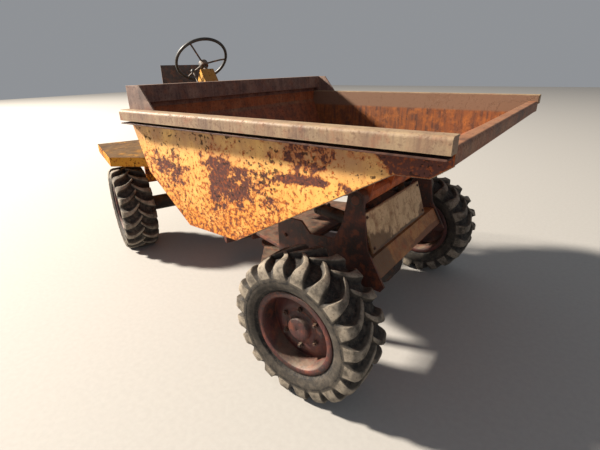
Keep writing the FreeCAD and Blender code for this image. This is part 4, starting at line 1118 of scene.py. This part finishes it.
hinge_form = ([], [])
rear_ways = (rear_forward, rear_left, rear_up)
for x in (-1480, -1860):
    add_block(hinge_form, on_rear(x, 338, 1066), rear_ways, (36, 4, 24))
    add_block(hinge_form, on_rear(x, 332.5, 1028), rear_ways, (36, 4, 36))
    add_tube(hinge_form, [on_rear(x - 20, 340, 1049), on_rear(x + 20, 340, 1049)], 6.5, 20)
    for z, y in ((1066, 340), (1022, 334)):
        add_bolt(hinge_form, on_rear(x, y, z), rear_left, 5)
    add_block(hinge_form, on_rear(x, -338, 1064), rear_ways, (30, 4, 20))
    add_block(hinge_form, on_rear(x, -332.5, 1008), rear_ways, (34, 5, 52))
    add_block(hinge_form, on_rear(x, -340, 1016), rear_ways, (18, 5, 60))
    add_tube(hinge_form, [on_rear(x - 11, -341, 1040), on_rear(x - 11, -341, 1062)], 2.5, 12)
    add_tube(hinge_form, [on_rear(x + 11, -341, 1040), on_rear(x + 11, -341, 1062)], 2.5, 12)
    add_tube(hinge_form, [on_rear(x - 13, -341, 1062), on_rear(x + 13, -341, 1062)], 2.5, 12)
    add_tube(hinge_form, [on_rear(x - 12, -341, 1038), on_rear(x + 12, -341, 1038)], 5, 16)
finish_form("cover_hinges", hinge_form, seat_steel, "rear_frame", 0.8)
print("hoods", 16, "hinges", 2, "latches", 2)

# %% [markdown]
# ## Bolts, pin caps and welds
#
# Fixings tell the eye how big a machine is, so they sit where the real ones must: round the trunnion's bearing,
# at the corners of the nose plate, over the pins, and along the mudguards. Every pin has a washer and a
# cotter or a keeper. Welds are beads of small ripples, laid where the skip's sheets meet.

# %% Bolts and pin caps
front_fixings = ([], [])
plate_way = (on_front(115, 0, 870) - on_front(180, 0, 668)).normalized()
plate_out = Vector((0, 1, 0)).cross(plate_way)
if plate_out.x < 0:
    plate_out.negate()
for y in (-445, 225):
    for share in (0.11, 0.89):
        add_bolt(front_fixings, on_front(180, y, 668).lerp(on_front(115, y, 870), share), plate_out, 8)
for side in (1, -1):
    add_tube(front_fixings, [on_front(75, side * 480.5, 940), on_front(75, side * 484, 940)], 34, 40)
    add_tube(front_fixings, [on_front(75, side * 484, 940), on_front(75, side * 487, 940)], 25, 40)
    for x, z in ((-60, 520), (60, 520), (-380, 500), (-380, 640)):
        add_bolt(front_fixings, on_front(x, side * 480, z), Vector((0, side, 0)), 12)
finish_form("front_fixings", front_fixings, casting, "front_frame", 0.6)

rear_fixings = ([], [])
for i in range(8):
    turn = math.radians(45 * i + 22.5)
    add_bolt(rear_fixings, on_rear(-190, 160 * math.cos(turn), 400 + 125 * math.sin(turn)), rear_forward, 10)
for side in (1, -1):
    for x in (-1700, -1420, -1140, -860):
        add_bolt(rear_fixings, on_rear(x, side * 400, 900 if x < -1330 else 646), rear_up, 7)
    for z in (430, 560):
        for x in (-2015, -2015):
            add_bolt(rear_fixings, on_rear(-2070, side * 300, z), -rear_forward, 14)
for x in (-1240, -770):
    for side in (1, -1):
        add_bolt(rear_fixings, on_rear(x, side * 250, 646), rear_up, 7)
finish_form("rear_fixings", rear_fixings, casting, "rear_frame", 0.6)
print("fixings placed")

# %% Weld beads
def add_bead(form, start, end, radius, source):
    """A weld's bead: a round skin whose radius ripples every few millimetres."""
    length = (end - start).length
    count = max(2, int(length / (7 * mm)))
    route = []
    radii = []
    for i in range(2 * count + 1):
        route.append(start.lerp(end, i / (2 * count)))
        radii.append(radius * (0.72 if i % 2 else 1.0) * source.uniform(0.9, 1.12))
    add_tube(form, route, radii, 8)


weld_source = random.Random(7)
welds = ([], [])
skip_outline = [(-1130, 1290), (-1033, 1022), (-729, 760), (-369, 760), (427, 1210), (549, 1213), (618, 1262)]
for side in (1, -1):
    for (x0, z0), (x1, z1) in zip(skip_outline[:-1], skip_outline[1:]):
        add_bead(welds, on_front(x0, side * 873, z0), on_front(x1, side * 873, z1), 3.5, weld_source)
    add_bead(welds, on_front(-1122, side * 873, 1359), on_front(-902, side * 873, 1359), 4, weld_source)
    add_bead(welds, on_front(-1125, side * 881, 1288), on_front(600, side * 881, 1284), 3.5, weld_source)
finish_form("skip_welds", welds, rim_steel, "skip")
print("weld points", len(welds[0]))

# %% [markdown]
# ## Tread bars on the floor
#
# The driver stands on chequered plate: short raised bars, each turned a quarter from its neighbours, that grip a
# wet boot. They are rolled into the plate and a millimetre or two high.

# %% Tread bars
bars = ([], [])
bar_pitch = 42
for i in range(21):
    for j in range(21):
        x = -1310 + bar_pitch * i
        y = -425 + bar_pitch * j
        if -1180 < x < -800 and -190 < y < 120:
            continue
        turn = math.radians(45 if (i + j) % 2 else -45)
        way = rear_forward * math.cos(turn) + rear_left * math.sin(turn)
        across = rear_up.cross(way)
        start = len(bars[0])
        middle = on_rear(x, y, 646)
        for reach, wide, rise in ((15, 4, 0), (11, 1.5, 1.8)):
            for u, v in ((-reach, 0), (0, -wide), (reach, 0), (0, wide)):
                bars[0].append(middle + (way * u + across * v + rear_up * rise) * mm)
        for k in range(4):
            after = (k + 1) % 4
            bars[1].append((start + k, start + after, start + 4 + after, start + 4 + k))
        bars[1].append((start + 4, start + 5, start + 6, start + 7))
        bars[1].append((start + 3, start + 2, start + 1, start))
finish_form("tread_bars", bars, tread_plate, "rear_frame")
print("tread bars", len(bars[0]) // 8)

# %% [markdown]
# ## Seat cushion
#
# The cushion is a foam block in a vinyl cover. Foam pulls its cover tight at the edges and swells between
# them, so the form is a box with a crowned top, rounded edges and sides that pull in at the corners. A grid
# that is bent by a formula gives that without a simulation, and it keeps the flat base that the pan needs.

# %% Seat cushion
def cushion(node, body):
    """A crowned pad in the space of the node's solid, in the rear half's own directions."""
    solid = nodes[node]
    corners = [v.co.copy() for v in solid.data.vertices]
    forward = Vector(joints["oscillation"]["axis"])
    left = Vector((-forward.y, forward.x, 0.0))
    across = [c.dot(left) for c in corners]
    along = [c.dot(forward) for c in corners]
    low_z = min(c.z for c in corners)
    high_z = max(c.z for c in corners)
    steps = 24
    points = []
    faces = []
    for layer_index in range(7):
        v = layer_index / 6
        for i in range(steps + 1):
            for j in range(steps + 1):
                points.append((i / steps, j / steps, v))
    n = steps + 1
    keep = {}
    placed = []
    for index, (a, b, v) in enumerate(points):
        if a in (0.0, 1.0) or b in (0.0, 1.0) or v in (0.0, 1.0):
            keep[index] = len(placed)
            x, y = 2 * a - 1, 2 * b - 1
            waist = 1 - 0.035 * (1 - math.sin(math.pi * v)) - 0.02 * (x * x + y * y) * 0.5
            crown = (1 - x ** 4) * (1 - y ** 4)
            z = low_z + (high_z - low_z) * (v if v < 1 else 0.78 + 0.22 * crown) * (0.86 if v < 1 else 1.0)
            f = min(along) + (max(along) - min(along)) * (0.5 + 0.5 * x * waist)
            s = min(across) + (max(across) - min(across)) * (0.5 + 0.5 * y * waist)
            placed.append(forward * f + left * s + Vector((0, 0, z)))

    def number(i, j, k):
        return keep.get(k * n * n + i * n + j)

    for k in (0, 6):
        for i in range(steps):
            for j in range(steps):
                faces.append((number(i, j, k), number(i + 1, j, k), number(i + 1, j + 1, k), number(i, j + 1, k)))
    for k in range(6):
        for i in range(steps):
            for j in (0, steps):
                faces.append((number(i, j, k), number(i + 1, j, k), number(i + 1, j, k + 1), number(i, j, k + 1)))
                faces.append((number(j, i, k), number(j, i + 1, k), number(j, i + 1, k + 1), number(j, i, k + 1)))
    pad = make_piece("cushion_pad", placed, faces, vinyl, body)
    bm = bmesh.new()
    bm.from_mesh(pad.data)
    bmesh.ops.recalc_face_normals(bm, faces=bm.faces)
    bm.to_mesh(pad.data)
    bm.free()
    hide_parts(node)
    return pad


pad = cushion("seat_cushion", "rear_frame")
print("cushion points", len(pad.data.vertices))

# %% [markdown]
# ## Floor and light
#
# A pale plain floor keeps the eye on the machine. The photograph's sun stands high over the machine's right
# rear, so the side that we see is bright and the nose is in shade. A broad lamp from that side gives the same
# modelling with soft edges, and a pale world fills the shadows.

# %% Floor and light
floor_material, floor_tree = new_material("pale_studio_floor")
floor_grain = blotches(floor_tree, place_on(floor_tree), 30, 0.5, 0.4, 2.0)
floor_colour = layer(floor_tree, linear("#9D9B98"), linear("#A3A19E"), floor_grain)
surface(floor_tree, floor_colour, 0.85, floor_grain, 0.05)
floor_half = 30.0
floor_mesh = bpy.data.meshes.new("studio_floor")
floor_mesh.from_pydata([(-floor_half, -floor_half, 0), (floor_half, -floor_half, 0), (floor_half, floor_half, 0),
                        (-floor_half, floor_half, 0)], [], [(0, 1, 2, 3)])
floor_mesh.materials.append(floor_material)
studio_floor = bpy.data.objects.new("studio_floor", floor_mesh)
bpy.context.scene.collection.objects.link(studio_floor)


def soft_lamp(name, place, size, power, tint):
    """A square lamp that faces the middle of the skip's right side."""
    lamp = bpy.data.lights.new(name, "AREA")
    lamp.shape = "SQUARE"
    lamp.size = size
    lamp.energy = power
    lamp.color = linear(tint)[:3]
    holder = bpy.data.objects.new(name, lamp)
    holder.location = place
    holder.rotation_euler = (side_middle - place).to_track_quat("-Z", "Y").to_euler()
    bpy.context.scene.collection.objects.link(holder)


side_middle = front_ground + Vector((-0.2, -0.88, 1.1))
towards_key = Vector((-0.815, -0.285, 0.505))
soft_lamp("key", side_middle + towards_key * 30.0, 2.4, 36000, "#FFF4E4")
soft_lamp("fill", side_middle + Vector((3.5, -4.5, 2.2)), 4.0, 35, "#E8EEFF")
world = bpy.data.worlds.new("pale_sky")
world.use_nodes = True
world.node_tree.nodes["Background"].inputs["Color"].default_value = linear("#E6EAF0")
world.node_tree.nodes["Background"].inputs["Strength"].default_value = 0.35
bpy.context.scene.world = world
bpy.context.scene.view_settings.view_transform = "Standard"
print("lamps", 2)
